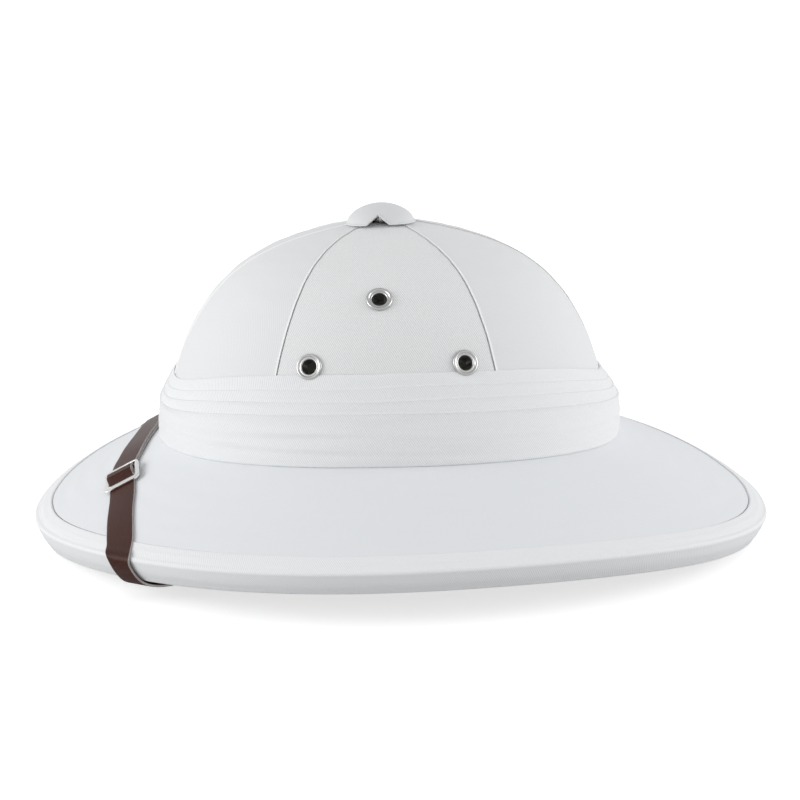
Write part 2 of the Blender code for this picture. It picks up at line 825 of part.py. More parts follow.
def make_slider(finish, home):
    """The three-bar slider: a flat plate with rounded corners and two windows."""
    level = slider_levels()
    place, along, side, normal = slider_frame()
    outline = bpy.data.curves.new("slider_outline", "CURVE")
    outline.dimensions = "2D"
    outline.fill_mode = "BOTH"
    outline.extrude = slider_thickness / 2.0
    window = (slider_length - 3.0 * slider_bar) / 2.0
    offset = (window + slider_bar) / 2.0
    boxes = (
        (0.0, slider_length, slider_width, slider_corner),
        (offset, window, slider_width - 2.0 * slider_bar, slider_window_corner),
        (-offset, window, slider_width - 2.0 * slider_bar, slider_window_corner),
    )
    for centre, length, width, corner in boxes:
        spline = outline.splines.new("POLY")
        corners = []
        for quarter in range(4):
            for step in (0, 1, 2):
                angle = math.radians(90.0 * quarter + 45.0 * step)
                across = (-1.0 if quarter in (1, 2) else 1.0) * (length / 2.0 - corner)
                upward = (-1.0 if quarter in (2, 3) else 1.0) * (width / 2.0 - corner)
                corners.append((
                    centre + across + corner * math.cos(angle),
                    upward + corner * math.sin(angle),
                    0.0,
                    1.0,
                ))
        spline.points.add(len(corners) - 1)
        for point, corner_place in zip(spline.points, corners):
            point.co = corner_place
        spline.use_cyclic_u = True
    guide = bpy.data.objects.new("slider_outline", outline)
    home.objects.link(guide)
    bpy.context.view_layer.update()
    graph = bpy.context.evaluated_depsgraph_get()
    mesh = bpy.data.meshes.new_from_object(guide.evaluated_get(graph))
    mesh.name = "strap_slider"
    bpy.data.objects.remove(guide)
    bpy.data.curves.remove(outline)
    work = bmesh.new()
    work.from_mesh(mesh)
    bmesh.ops.remove_doubles(work, verts=work.verts, dist=0.00001)
    tilt = (level["far_bar"] - level["near_bar"]) / (slider_length - slider_bar)
    lift = unit(normal + along * tilt)
    ahead = unit(-along + normal * tilt)
    centre = place + normal * level["middle_bar"]
    for point in work.verts:
        x, y, z = point.co
        point.co = centre + ahead * x + side * y + lift * z
    face_outwards(work)
    work.to_mesh(mesh)
    work.free()
    mesh.materials.clear()
    return add_object("strap_slider", mesh, finish, home)


def make_anchors(finish, home):
    """A plain rivet at each strap's end: a head on the strap and a pin into the shell."""
    head = strap_thickness / 2.0 + clearance
    profile = [
        (0.0, head + anchor_head),
        (anchor_radius - anchor_round, head + anchor_head),
        (anchor_radius, head + anchor_head - anchor_round),
        (anchor_radius, head),
        (anchor_pin_radius, head),
        (anchor_pin_radius, -head - clearance - anchor_pin_depth),
        (0.0, -head - clearance - anchor_pin_depth),
    ]
    point, look = anchor_place()
    places = []
    for name, side in (("anchor_left", 1.0), ("anchor_right", -1.0)):
        mirror = np.array([side, 1.0, 1.0])
        rivet = turned(name, profile, small_steps, finish, home)
        rivet.location = point * mirror
        rivet.rotation_mode = "QUATERNION"
        rivet.rotation_quaternion = Vector(look * mirror).to_track_quat("Z", "Y")
        places.append((point * mirror, look * mirror))
    return places


def build():
    """The whole hat, with the holes that its eyelets, stem and rivets need."""
    for thing in list(bpy.data.objects):
        bpy.data.objects.remove(thing)
    home = bpy.data.collections.new("pith_helmet")
    cutters = bpy.data.collections.new("cutters")
    bpy.context.scene.collection.children.link(home)
    bpy.context.scene.collection.children.link(cutters)
    white = material("white_twill", (0.83, 0.83, 0.82), 0.85)
    bound = material("white_binding", (0.86, 0.86, 0.85), 0.80)
    pith = material("white_shell", (0.80, 0.80, 0.78), 0.90)
    nickel = material("nickel", (0.78, 0.77, 0.74), 0.22, 1.0)
    leather = material("dark_leather", (0.055, 0.035, 0.028), 0.35)

    shell = make_shell(pith, home)
    make_brim_cover(white, home)
    make_binding(bound, home)
    panels = make_panels(white, home)
    puggaree = make_puggaree(white, home)
    make_button(white, home, cutters)
    make_stem(nickel, home)
    places = eyelet_places()
    make_eyelets(places, nickel, home)
    straps = make_straps(leather, home)
    make_slider(nickel, home)
    anchors = make_anchors(nickel, home)

    barrel = eyelet_hole_radius + eyelet_wall + clearance
    flange = eyelet_flange_radius + clearance
    deep = (cloth + clearance + crown_wall) * 2.0
    for side, panel in (("left", panels["panel_left"]), ("right", panels["panel_right"])):
        spots = [(point, normal) for name, point, normal in places if side in name]
        drill = pins("barrel_cutter_" + side, spots, barrel, deep / 3.0, deep, cutters)
        cut(shell, drill)
        cut(panel, drill)
        low = [spot for spot in spots if spot[0][2] < max(each[0][2] for each in spots)]
        cut(puggaree, pins("flange_cutter_" + side, low, flange, deep, clearance, cutters))
    room = clearance * 2.0 + strap_thickness / 2.0 + clearance
    pin = anchor_pin_radius + clearance
    pin_cutter = pins("anchor_cutter", anchors, pin, anchor_head, anchor_pin_depth + room, cutters)
    cut(shell, pin_cutter)
    for strap in straps:
        cut(strap, pin_cutter)


build()
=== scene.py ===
# White pith helmet: cloth over a pressed shell, nickel eyelets and a leather chin strap.
# Lengths are metres, +Z is up, the hat's front looks along -Y and its left side along +X.
# A turn is the angle round the hat in radians, from the front towards the left side.

import math

import bmesh
import bpy
import numpy as np
from mathutils import Matrix, Vector


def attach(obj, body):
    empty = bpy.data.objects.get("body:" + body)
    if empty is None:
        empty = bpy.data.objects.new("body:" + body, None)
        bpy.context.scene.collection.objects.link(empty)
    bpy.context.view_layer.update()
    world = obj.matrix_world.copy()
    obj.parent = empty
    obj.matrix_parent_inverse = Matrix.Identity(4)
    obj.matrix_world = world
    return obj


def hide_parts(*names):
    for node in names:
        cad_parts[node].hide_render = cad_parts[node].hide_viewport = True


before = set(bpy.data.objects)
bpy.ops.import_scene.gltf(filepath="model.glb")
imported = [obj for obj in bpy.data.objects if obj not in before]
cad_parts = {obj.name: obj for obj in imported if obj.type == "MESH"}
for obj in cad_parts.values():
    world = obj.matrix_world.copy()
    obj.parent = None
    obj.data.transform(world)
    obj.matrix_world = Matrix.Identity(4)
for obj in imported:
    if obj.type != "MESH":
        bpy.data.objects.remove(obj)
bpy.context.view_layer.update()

# The hat's own shape, by the same formulas as its solids

hat = {
    "rimLength": 0.175, "rimWidth": 0.152, "frontFullness": 0.07, "frontTaper": 0.149,
    "sideRise": 0.0165, "restShare": 0.13, "risePower": 1.34,
    "edgeHeight": 0.0112, "edgeUndercut": 0.0061, "edgeRound": 0.0021, "restWidth": 0.0070,
    "crownLength": 0.1045, "crownWidth": 0.0900, "crownY": -0.0070,
    "baseHeight": 0.0495, "baseRise": 0.0078, "crownHeight": 0.0925,
    "peakHeight": 0.0062, "peakReach": 0.33, "sideFullness": 3.18, "topFullness": 1.75,
    "cloth": 0.0012, "clearance": 0.0003, "crownWall": 0.0040, "brimWall": 0.0070,
}


def rimPlan(t):
    # ellipse times a fullness: x = a sin t (1 + f cos t - g cos^3 t), y = -b cos t
    full = 1.0 + hat["frontFullness"] * np.cos(t) - hat["frontTaper"] * np.cos(t) ** 3
    return np.stack([hat["rimWidth"] * np.sin(t) * full, -hat["rimLength"] * np.cos(t)], -1)


def rimRise(t):
    # lift of the rim = h (max(0, |sin t| - s) / (1 - s))^p, so front and back lie on the floor
    ramp = np.clip(np.abs(np.sin(t)) - hat["restShare"], 0.0, 1.0) / (1.0 - hat["restShare"])
    return hat["sideRise"] * ramp ** hat["risePower"]


def crownPlan(t):
    # the crown's base ellipse round its own middle
    return np.stack([hat["crownWidth"] * np.sin(t), -hat["crownLength"] * np.cos(t)], -1)


def baseLevel(t):
    # height of the corner between crown and brim = h + k sin^2 t
    return hat["baseHeight"] + hat["baseRise"] * np.sin(t) ** 2


def crownLevel(t, r):
    # superellipse in the width share r, with a small round peak added
    level = np.clip(1.0 - r ** hat["sideFullness"], 0.0, 1.0) ** (1.0 / hat["topFullness"])
    peak = hat["peakHeight"] * np.exp(-(r / hat["peakReach"]) ** 2)
    top = hat["baseHeight"] + hat["crownHeight"]
    return baseLevel(t) * (1.0 - level) + top * level + peak


def crownShare(t, above):
    # the width share at a height above the brim, the superellipse solved for r
    full = hat["baseHeight"] + hat["crownHeight"] - baseLevel(t)
    level = np.clip(above / full, 0.0, 1.0)
    return (1.0 - level ** hat["topFullness"]) ** (1.0 / hat["sideFullness"])


def crownPoint(t, r):
    # (plan(t) r + middle, level(t, r))
    plan = crownPlan(t) * r[..., None]
    return np.stack([plan[..., 0], plan[..., 1] + hat["crownY"], crownLevel(t, r)], -1)


def brimPoint(t, s):
    # straight line from the base corner (s = 0) to the rim's crease (s = 1)
    base, rim = crownPlan(t), rimPlan(t)
    low = np.stack([base[..., 0], base[..., 1] + hat["crownY"], baseLevel(t)], -1)
    high = np.stack([rim[..., 0], rim[..., 1], rimRise(t) + hat["edgeHeight"]], -1)
    return low + (high - low) * s[..., None]


small = 1e-4  # step of the central differences


def unit(v):
    # v / |v|
    return v / np.maximum(np.linalg.norm(v, axis=-1, keepdims=True), 1e-12)


def quarterTurn(v):
    # (x, y) turned to (-y, x)
    return np.stack([-v[..., 1], v[..., 0]], -1)


def fullTurn(count):
    # even angles round a circle, from zero
    return np.arange(count) * 2 * math.pi / count


def runLength(points):
    # running length along a line of points, from zero
    return np.concatenate([[0.0], np.cumsum(np.linalg.norm(np.diff(points, axis=0), axis=-1))])


def surfaceNormal(point, a, b):
    # normal = dP/db x dP/da by central differences, which faces out of the hat
    alongA = point(a + small, b) - point(a - small, b)
    alongB = point(a, b + small) - point(a, b - small)
    return unit(np.cross(alongB, alongA))


def smoothStep(x):
    # 3 x^2 - 2 x^3 between 0 and 1
    x = np.clip(x, 0.0, 1.0)
    return x * x * (3.0 - 2.0 * x)


def bump(x, middle, width):
    # exp(-((x - m) / w)^2)
    return np.exp(-((x - middle) / width) ** 2)


def waves(a, b, seed, size, count=7, low=2, high=9):
    # soft unevenness: sum of sin(m a + n b + phase) / sqrt(m) with seeded m, n and phase
    rng = np.random.default_rng(seed)
    total = np.zeros(np.broadcast(a, b).shape)
    for m, n, phase in zip(rng.integers(low, high, count), rng.uniform(-9, 9, count),
                           rng.uniform(0, 2 * math.pi, count)):
        total = total + np.sin(m * a + n * b + phase) / math.sqrt(m)
    return total * size / math.sqrt(count)


# Grids to meshes

meshing = {"mergeDistance": 1e-7, "sharpAngle": 38.0}


def addObject(name, data):
    made = bpy.data.objects.new(name, data)
    bpy.context.scene.collection.objects.link(made)
    return made


def gridMesh(name, points, uv, wrapU, wrapV, materials, capEnds=False, faceSlot=None):
    # points[u, v] become four-sided faces; a wrapped side joins its last row to its first
    nu, nv = points.shape[:2]
    index = np.arange(nu * nv).reshape(nu, nv)
    across = np.concatenate([index, index[:1]], 0) if wrapU else index
    across = np.concatenate([across, across[:, :1]], 1) if wrapV else across
    quads = np.stack([across[:-1, :-1], across[1:, :-1], across[1:, 1:], across[:-1, 1:]], -1)
    uvQuads = np.stack([uv[:-1, :-1], uv[1:, :-1], uv[1:, 1:], uv[:-1, 1:]], -2)
    quads, uvQuads = quads.reshape(-1, 4), uvQuads.reshape(-1, 4, 2)
    if capEnds:
        # the loop's two halves face each other, so their points pair up
        half = nv // 2
        pair = np.stack([np.arange(half - 1), np.arange(1, half),
                         nv - 2 - np.arange(half - 1), nv - 1 - np.arange(half - 1)], -1)
        for row, flip in ((0, False), (nu - 1, True)):
            cap = index[row][pair]
            capUv = uv[row][pair]
            quads = np.concatenate([quads, cap[:, ::-1] if flip else cap])
            uvQuads = np.concatenate([uvQuads, capUv[:, ::-1] if flip else capUv])
    mesh = bpy.data.meshes.new(name)
    mesh.vertices.add(nu * nv)
    mesh.vertices.foreach_set("co", points.reshape(-1).astype(np.float32))
    mesh.loops.add(len(quads) * 4)
    mesh.loops.foreach_set("vertex_index", quads.reshape(-1).astype(np.int32))
    mesh.polygons.add(len(quads))
    mesh.polygons.foreach_set("loop_start", (np.arange(len(quads)) * 4).astype(np.int32))
    layer = mesh.uv_layers.new(name="cloth")
    mesh.update(calc_edges=True)
    layer.data.foreach_set("uv", uvQuads.reshape(-1).astype(np.float32))
    for made in materials:
        mesh.materials.append(made)
    if faceSlot is not None:
        slots = np.zeros(len(quads), np.int32)
        slots[:faceSlot.size] = faceSlot.reshape(-1)
        mesh.polygons.foreach_set("material_index", slots)
    return finishMesh(name, mesh)


def finishMesh(name, mesh):
    # doubles merged, faces turned outwards (positive volume), smooth with sharp creases
    work = bmesh.new()
    work.from_mesh(mesh)
    bmesh.ops.remove_doubles(work, verts=work.verts, dist=meshing["mergeDistance"])
    bmesh.ops.recalc_face_normals(work, faces=work.faces)
    if work.calc_volume(signed=True) < 0.0:
        bmesh.ops.reverse_faces(work, faces=work.faces)
    work.to_mesh(mesh)
    work.free()
    mesh.shade_smooth()
    mesh.set_sharp_from_angle(angle=math.radians(meshing["sharpAngle"]))
    piece = addObject(name, mesh)
    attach(piece, "root")
    return piece


# Cloth weave and leather grain, each one shader group with its own sockets

def newGroup(name, inputs, outputs):
    # inputs are (name, number), a vector where the number is None; outputs are all numbers
    group = bpy.data.node_groups.new(name, "ShaderNodeTree")
    for label, value in inputs:
        kind = "NodeSocketVector" if value is None else "NodeSocketFloat"
        made = group.interface.new_socket(label, in_out="INPUT", socket_type=kind)
        if value is not None:
            made.default_value = value
    for label in outputs:
        group.interface.new_socket(label, in_out="OUTPUT", socket_type="NodeSocketFloat")
    return group, group.nodes.new("NodeGroupInput"), group.nodes.new("NodeGroupOutput")


def link(tree, source, target):
    tree.links.new(source, target)


def setSockets(node, values):
    for label, value in values.items():
        node.inputs[label].default_value = value


def mathNode(tree, operation, *values):
    # one Math node; its values are sockets or plain numbers
    node = tree.nodes.new("ShaderNodeMath")
    node.operation = operation
    for socket, value in zip(node.inputs, values):
        if isinstance(value, (int, float)):
            socket.default_value = value
        else:
            link(tree, value, socket)
    return node.outputs[0]


def scaled(tree, value, factor, offset):
    # value * factor + offset
    return mathNode(tree, "ADD", mathNode(tree, "MULTIPLY", value, factor), offset)


def centred(tree, value, factor):
    # (value - 0.5) * factor
    return mathNode(tree, "MULTIPLY", mathNode(tree, "SUBTRACT", value, 0.5), factor)


def noiseNode(tree, vector, scale, detail=3.0, rough=0.5):
    node = tree.nodes.new("ShaderNodeTexNoise")
    setSockets(node, {"Scale": scale, "Detail": detail, "Roughness": rough})
    link(tree, vector, node.inputs["Vector"])
    return node.outputs["Fac"]


twill = {
    # how far ribs, crossing threads and slubs stand out, and the threads' pitch as a rib's share
    "ribHeight": 0.38, "threadHeight": 0.12, "slubHeight": 0.5, "threadPitch": 0.5,
    # noise per metre
    "slubScale": 900.0, "soilScale": 18.0, "napScale": 240.0,
    "relief": 0.55, "roughness": 0.84, "napRoughness": 0.12,
    "gloss": {"Sheen Weight": 0.12, "Sheen Roughness": 0.5, "Specular IOR Level": 0.25},
}


def buildTwill():
    # ribs = sin(2 pi (x + slope y) / pitch), broken up by the threads that cross them
    group, given, out = newGroup("twillWeave", [
        ("Cloth", None), ("Pitch", 0.0008), ("Slope", 0.5), ("Soil", 0.03), ("Contrast", 0.2),
    ], ["Height", "Shade", "Nap"])
    cloth, pitch = given.outputs["Cloth"], given.outputs["Pitch"]
    split = group.nodes.new("ShaderNodeSeparateXYZ")
    link(group, cloth, split.inputs[0])
    x, y = split.outputs[0], split.outputs[1]

    def stripes(distance, spacing):
        # sin(2 pi distance / spacing)
        turns = mathNode(group, "DIVIDE", distance, spacing)
        return mathNode(group, "SINE", mathNode(group, "MULTIPLY", turns, 2.0 * math.pi))

    rib = stripes(scaled(group, y, given.outputs["Slope"], x), pitch)
    thread = stripes(x, mathNode(group, "MULTIPLY", pitch, twill["threadPitch"]))
    woven = scaled(group, thread, twill["threadHeight"],
                   mathNode(group, "MULTIPLY", rib, twill["ribHeight"]))
    slubs = centred(group, noiseNode(group, cloth, twill["slubScale"], 2.0), twill["slubHeight"])
    height = mathNode(group, "ADD", mathNode(group, "ADD", woven, 0.5), slubs)
    mottle = centred(group, noiseNode(group, cloth, twill["soilScale"], 4.0, 0.55),
                     given.outputs["Soil"])
    # the weave's low parts are darker in colour: painted shade of the ribs' relief
    paintedWeaveShade = centred(group, height, given.outputs["Contrast"])
    shade = mathNode(group, "ADD", mathNode(group, "ADD", mottle, paintedWeaveShade), 1.0)
    nap = noiseNode(group, cloth, twill["napScale"])
    for label, source in (("Height", height), ("Shade", shade), ("Nap", nap)):
        link(group, source, out.inputs[label])
    return group


grain = {
    "cellScale": 900.0, "cellHeight": 1.6, "poreScale": 2600.0, "poreHeight": 0.35,
    "cloudScale": 55.0, "relief": (0.00010, 0.6), "specular": 0.15,
    # shade = base + clouds + cells, and how far the clouds change the roughness
    "shadeBase": 0.40, "shadeClouds": 0.5, "shadeCells": 0.6, "unevenPolish": 0.14,
}


def buildGrain():
    # leather grain: small cells pressed in, with pores, on the strap's own flat coordinates
    group, given, out = newGroup("leatherGrain", [
        ("Cloth", None), ("Size", grain["cellScale"])], ["Height", "Tone"])
    cells = group.nodes.new("ShaderNodeTexVoronoi")
    cells.feature = "DISTANCE_TO_EDGE"
    link(group, given.outputs["Size"], cells.inputs["Scale"])
    link(group, given.outputs["Cloth"], cells.inputs["Vector"])
    edge = mathNode(group, "MULTIPLY", cells.outputs["Distance"], grain["cellHeight"])
    pores = noiseNode(group, given.outputs["Cloth"], grain["poreScale"], 2.0)
    clouds = noiseNode(group, given.outputs["Cloth"], grain["cloudScale"], 4.0)
    link(group, scaled(group, pores, grain["poreHeight"], edge), out.inputs["Height"])
    link(group, clouds, out.inputs["Tone"])
    return group


twillGroup = buildTwill()
grainGroup = buildGrain()


def newMaterial(name):
    made = bpy.data.materials.new(name)
    made.use_nodes = True
    return made, made.node_tree, made.node_tree.nodes["Principled BSDF"]


def groupNode(tree, group, values):
    # one of the groups above, fed with the piece's flat cloth coordinates
    flat = tree.nodes.new("ShaderNodeUVMap")
    flat.uv_map = "cloth"
    node = tree.nodes.new("ShaderNodeGroup")
    node.node_tree = group
    link(tree, flat.outputs[0], node.inputs["Cloth"])
    setSockets(node, values)
    return node.outputs


def setColour(tree, shader, colour, shade):
    # base colour = colour times a shade that changes over the surface
    mix = tree.nodes.new("ShaderNodeMix")
    mix.data_type = "RGBA"
    mix.blend_type = "MULTIPLY"
    mix.inputs["Factor"].default_value = 1.0
    mix.inputs[6].default_value = (*colour, 1.0)
    grey = tree.nodes.new("ShaderNodeCombineColor")
    for channel in range(3):
        link(tree, shade, grey.inputs[channel])
    link(tree, grey.outputs[0], mix.inputs[7])
    link(tree, mix.outputs[2], shader.inputs["Base Color"])


def setRelief(tree, shader, height, depth, strength):
    relief = tree.nodes.new("ShaderNodeBump")
    setSockets(relief, {"Distance": depth, "Strength": strength})
    link(tree, height, relief.inputs["Height"])
    link(tree, relief.outputs[0], shader.inputs["Normal"])


def clothMaterial(name, colour, pitch, slope, depth, contrast, soil=0.03):
    # twill: the weave as relief and as painted shade in its grooves, its nap as a little change in
    # roughness
    made, tree, shader = newMaterial(name)
    weave = groupNode(tree, twillGroup, {
        "Pitch": pitch, "Slope": slope, "Soil": soil, "Contrast": contrast})
    setColour(tree, shader, colour, weave["Shade"])
    setRelief(tree, shader, weave["Height"], depth, twill["relief"])
    link(tree, scaled(tree, weave["Nap"], twill["napRoughness"], twill["roughness"]),
         shader.inputs["Roughness"])
    setSockets(shader, twill["gloss"])
    return made


def pithMaterial():
    # pressed fibre: two sizes of noise as relief and a faint warm mottle
    made, tree, shader = newMaterial("pressedPith")
    place = tree.nodes.new("ShaderNodeTexCoord").outputs["Object"]
    coarse = noiseNode(tree, place, 160.0, 5.0, 0.65)
    fibre = noiseNode(tree, place, 900.0, 3.0, 0.6)
    setColour(tree, shader, (0.70, 0.68, 0.63), scaled(tree, coarse, 0.14, 0.93))
    setRelief(tree, shader, scaled(tree, fibre, 0.5, coarse), 0.0003, 0.6)
    setSockets(shader, {"Roughness": 0.95, "Specular IOR Level": 0.2})
    return made


def nickelMaterial(name, colour, roughness):
    # plated metal: fine polishing marks in roughness, a slight drift in colour
    made, tree, shader = newMaterial(name)
    place = tree.nodes.new("ShaderNodeTexCoord").outputs["Object"]
    drift, rubbed = noiseNode(tree, place, 220.0), noiseNode(tree, place, 700.0)
    setColour(tree, shader, colour, scaled(tree, drift, 0.12, 0.92))
    link(tree, scaled(tree, rubbed, 0.10, roughness), shader.inputs["Roughness"])
    setSockets(shader, {"Metallic": 1.0})
    return made


def leatherMaterial(name, colour, roughness):
    # grain as relief, speckled and clouded colour, uneven polish
    made, tree, shader = newMaterial(name)
    skin = groupNode(tree, grainGroup, {})
    clouds = scaled(tree, skin["Tone"], grain["shadeClouds"], grain["shadeBase"])
    setColour(tree, shader, colour, scaled(tree, skin["Height"], grain["shadeCells"], clouds))
    setRelief(tree, shader, skin["Height"], *grain["relief"])
    polish = grain["unevenPolish"]
    link(tree, scaled(tree, skin["Tone"], polish, roughness - polish / 2),
         shader.inputs["Roughness"])
    setSockets(shader, {"Specular IOR Level": grain["specular"]})
    return made


# name, colour, twill's pitch and slope, relief, contrast and soil
crownCloth = clothMaterial("crownTwill", (0.754, 0.757, 0.759), 0.00099, 0.62, 0.00008, 0.30)
# front and rear panels: the same twill a little darker as painted shade, with a softer weave
shadedEndCloth = clothMaterial("crownTwillSoftShaded", (0.738, 0.742, 0.746), 0.00099, 0.62, 0.00003, 0.10)
# the seam lips' cloth is the crown twill made lighter: a painted highlight on the raised folds
seamHighlightCloth = clothMaterial("seamFoldHighlight", (0.850, 0.855, 0.860), 0.00099, 0.62, 0.00004, 0.08)
brimCloth = clothMaterial("brimTwill", (0.760, 0.774, 0.790), 0.00099, 0.62, 0.00003, 0.06, 0.02)
bandCloth = clothMaterial("puggareeCloth", (0.772, 0.782, 0.790), 0.00099, -0.62, 0.00006, 0.22)
edgeCloth = clothMaterial("bindingCloth", (0.796, 0.804, 0.810), 0.00099, -0.62, 0.00005, 0.16)
# the button's cloth is the crown twill made darker: painted shade on the button
shadedCapCloth = clothMaterial("buttonClothShaded", (0.676, 0.682, 0.688), 0.00060, 0.62, 0.00002, 0.05)
strapLeather = leatherMaterial("strapLeather", (0.054, 0.015, 0.009), 0.34)
strapEdge = leatherMaterial("strapCutEdge", (0.43, 0.40, 0.39), 0.70)
pith = pithMaterial()
nickel = nickelMaterial("nickelPlate", (0.90, 0.89, 0.88), 0.16)
dullNickel = nickelMaterial("dullNickel", (0.60, 0.60, 0.59), 0.26)
print("materials made")

# Crown panels

crown = {
    # seam turn in degrees at each width share, read on the left side; the right side mirrors it
    "frontSeam": ((0.00, 27.0), (0.14, 33.0), (0.236, 38.6), (0.34, 43.2), (0.454, 46.9),
                  (0.60, 50.2), (0.72, 51.9), (0.85, 53.2), (1.00, 54.0)),
    "rearSeam": ((0.00, 118.6), (0.15, 118.2), (0.35, 117.6), (0.465, 116.9), (0.62, 115.4),
                 (0.72, 114.6), (0.85, 114.2), (1.00, 114.5)),
    "lipHeight": 0.00060, "lipWidth": 0.00080, "gap": 0.00044, "topShare": 0.085,
    "footHeight": 0.0016, "edgeDrop": 0.00035, "edgeDropReach": 0.00018, "wallShare": 0.85,
    "rows": 96, "middleColumns": 46, "unevenness": 0.00016,
    # the columns' distances from each seam, closer together where the panel is narrow
    "edgeSteps": (0.0, 0.00012, 0.0003, 0.00055, 0.0008, 0.0011, 0.0015, 0.0020, 0.0027, 0.0038),
    "narrow": 0.010,
}


def seamTurn(table, r):
    # cubic through the table of (width share, degrees)
    share, degrees = np.array(table).T
    return np.radians(np.polyval(np.polyfit(share, degrees, 3), r))


def crownRows(count, low, high):
    # width shares at even steps of arc length up the side, from low height to high share
    angle = np.linspace(0.0, math.pi / 2, 1500)
    r = np.cos(angle) ** (2.0 / hat["sideFullness"])
    side = crownPoint(np.full_like(r, math.pi / 2), r)
    length = runLength(side)
    start = np.interp(low, side[:, 2] - side[0, 2], length)
    end = np.interp(-high, -r, length)
    return np.interp(np.linspace(start, end, count), length, r)


def panelPiece(name, startTurn, endTurn, liftStart, liftEnd, cloth):
    # P(t, r) + n (lip exp(-(d / w)^2) + waves), d the distance to the seam; the wall goes inwards
    r = crownRows(crown["rows"], crown["footHeight"], crown["topShare"])
    t0, t1 = startTurn(r), endTurn(r)
    middle = (t0 + t1) / 2
    ahead = crownPoint(middle + small, r) - crownPoint(middle - small, r)
    speed = np.linalg.norm(ahead, axis=-1) / (2 * small)
    half = (t1 - t0) / 2 * speed
    edge = np.array(crown["edgeSteps"])[:, None] * np.minimum(1.0, half / crown["narrow"])
    inner = np.linspace(0.0, 1.0, crown["middleColumns"] + 2)[1:-1, None]
    reach = edge[-1]
    columns = np.concatenate([-half + edge, -half + reach + inner * 2 * (half - reach),
                              (half - edge)[::-1]], 0)
    columns = columns * (1.0 - crown["gap"] / 2 / half)
    t = middle + columns / speed
    grid = np.broadcast_to(r, t.shape)
    base = crownPoint(t, grid)
    normal = surfaceNormal(crownPoint, t, grid)
    fromStart, fromEnd = columns + half, half - columns
    lip = crown["lipHeight"] * (liftStart * bump(fromStart, 0.0, crown["lipWidth"])
                                + liftEnd * bump(fromEnd, 0.0, crown["lipWidth"]))
    rounded = crown["edgeDrop"] * (np.exp(-fromStart / crown["edgeDropReach"])
                                   + np.exp(-fromEnd / crown["edgeDropReach"]))
    lift = lip - rounded + waves(t * 2.0, grid * 9.0, 11, crown["unevenness"])
    outer = base + normal * lift[..., None]
    inside = base - normal * (hat["cloth"] * crown["wallShare"])
    points = np.concatenate([outer, inside[:, ::-1]], 1)
    up = runLength(base[len(base) // 2])
    uv = np.stack([columns, np.broadcast_to(up, columns.shape)], -1)
    # the wall's inside and the column that closes the loop lie a little further on in UV
    uv = np.concatenate([uv, uv[:, ::-1] + (0.0, 0.002), uv[:, :1] + (0.0, 0.001)], 1)
    # the faces of a raised seam lip take the lighter seam cloth, a painted highlight along the fold
    fold = np.maximum(liftStart * (fromStart < crown["lipWidth"]),
                      liftEnd * (fromEnd < crown["lipWidth"])).astype(np.int32)
    slots = np.concatenate([fold, np.zeros_like(fold)], 1)[:-1]
    return gridMesh(name, points, uv, False, True, [cloth, seamHighlightCloth], capEnds=True,
                    faceSlot=slots)


def frontSeam(r):
    return seamTurn(crown["frontSeam"], r)


def rearSeam(r):
    return seamTurn(crown["rearSeam"], r)


def mirrored(seam):
    return lambda r: 2 * math.pi - seam(r)


def straightAt(turn):
    return lambda r: np.full_like(r, turn)


panelList = (
    # node, seam where it starts, seam where it ends, lip at its start, lip at its end, cloth
    ("panel_left_front", straightAt(0.0), frontSeam, 1.0, 1.0, shadedEndCloth),
    ("panel_left", frontSeam, rearSeam, 0.0, 0.0, crownCloth),
    ("panel_left_rear", rearSeam, straightAt(math.pi), 1.0, 0.0, shadedEndCloth),
    ("panel_right_rear", straightAt(math.pi), mirrored(rearSeam), 1.0, 1.0, shadedEndCloth),
    ("panel_right", mirrored(rearSeam), mirrored(frontSeam), 0.0, 0.0, crownCloth),
    ("panel_right_front", mirrored(frontSeam), straightAt(2 * math.pi), 1.0, 0.0, shadedEndCloth),
)
for node, *shape in panelList:
    panel = panelPiece("cloth_" + node, *shape)
    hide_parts(node)
print("crown panels made")

# Brim cover, binding and shell: closed loops carried round the hat

rim = {
    "columns": 384, "coverWaves": 0.00022, "coverStart": 0.0016, "coverGap": 0.00025,
    "coverWallShare": 0.9, "bindingWidth": 0.0103, "bindingLift": 0.00070,
    "bindingWaves": 0.00020, "bindingSink": 0.0002, "bindingWallShare": 0.8, "edgeWaves": 0.00012,
    "creaseRound": 0.0015, "cornerRound": 0.0018, "faceBulge": 0.0004,
}
turns = fullTurn(rim["columns"]) + math.pi


def sectionFrame(t):
    # reach of the base corner, directions from the middle to it and from it to the rim, brim's width
    plan = crownPlan(t)
    reach = np.linalg.norm(plan, axis=-1)
    out = rimPlan(t) - plan - (0.0, hat["crownY"])
    across = np.linalg.norm(out, axis=-1)
    return reach, plan / reach[:, None], out / across[:, None], across


def toSpace(t, section):
    # (reach, height) to space: along the crown's radius inside the base, towards the rim outside
    reach, inward, outward, across = sectionFrame(t)
    inside = np.minimum(section[..., 0], reach[:, None])
    outside = np.maximum(section[..., 0] - reach[:, None], 0.0)
    flat = inward[:, None] * inside[..., None] + outward[:, None] * outside[..., None]
    flat = flat + np.array([0.0, hat["crownY"]])
    return np.concatenate([flat, section[..., 1:]], -1)


def loopLengths(points):
    # running length along each closed loop, as its second UV coordinate
    closed = np.concatenate([points, points[:, :1]], 1)
    step = np.linalg.norm(np.diff(closed, axis=1), axis=-1)
    return np.concatenate([np.zeros((len(closed), 1)), np.cumsum(step, 1)], 1)


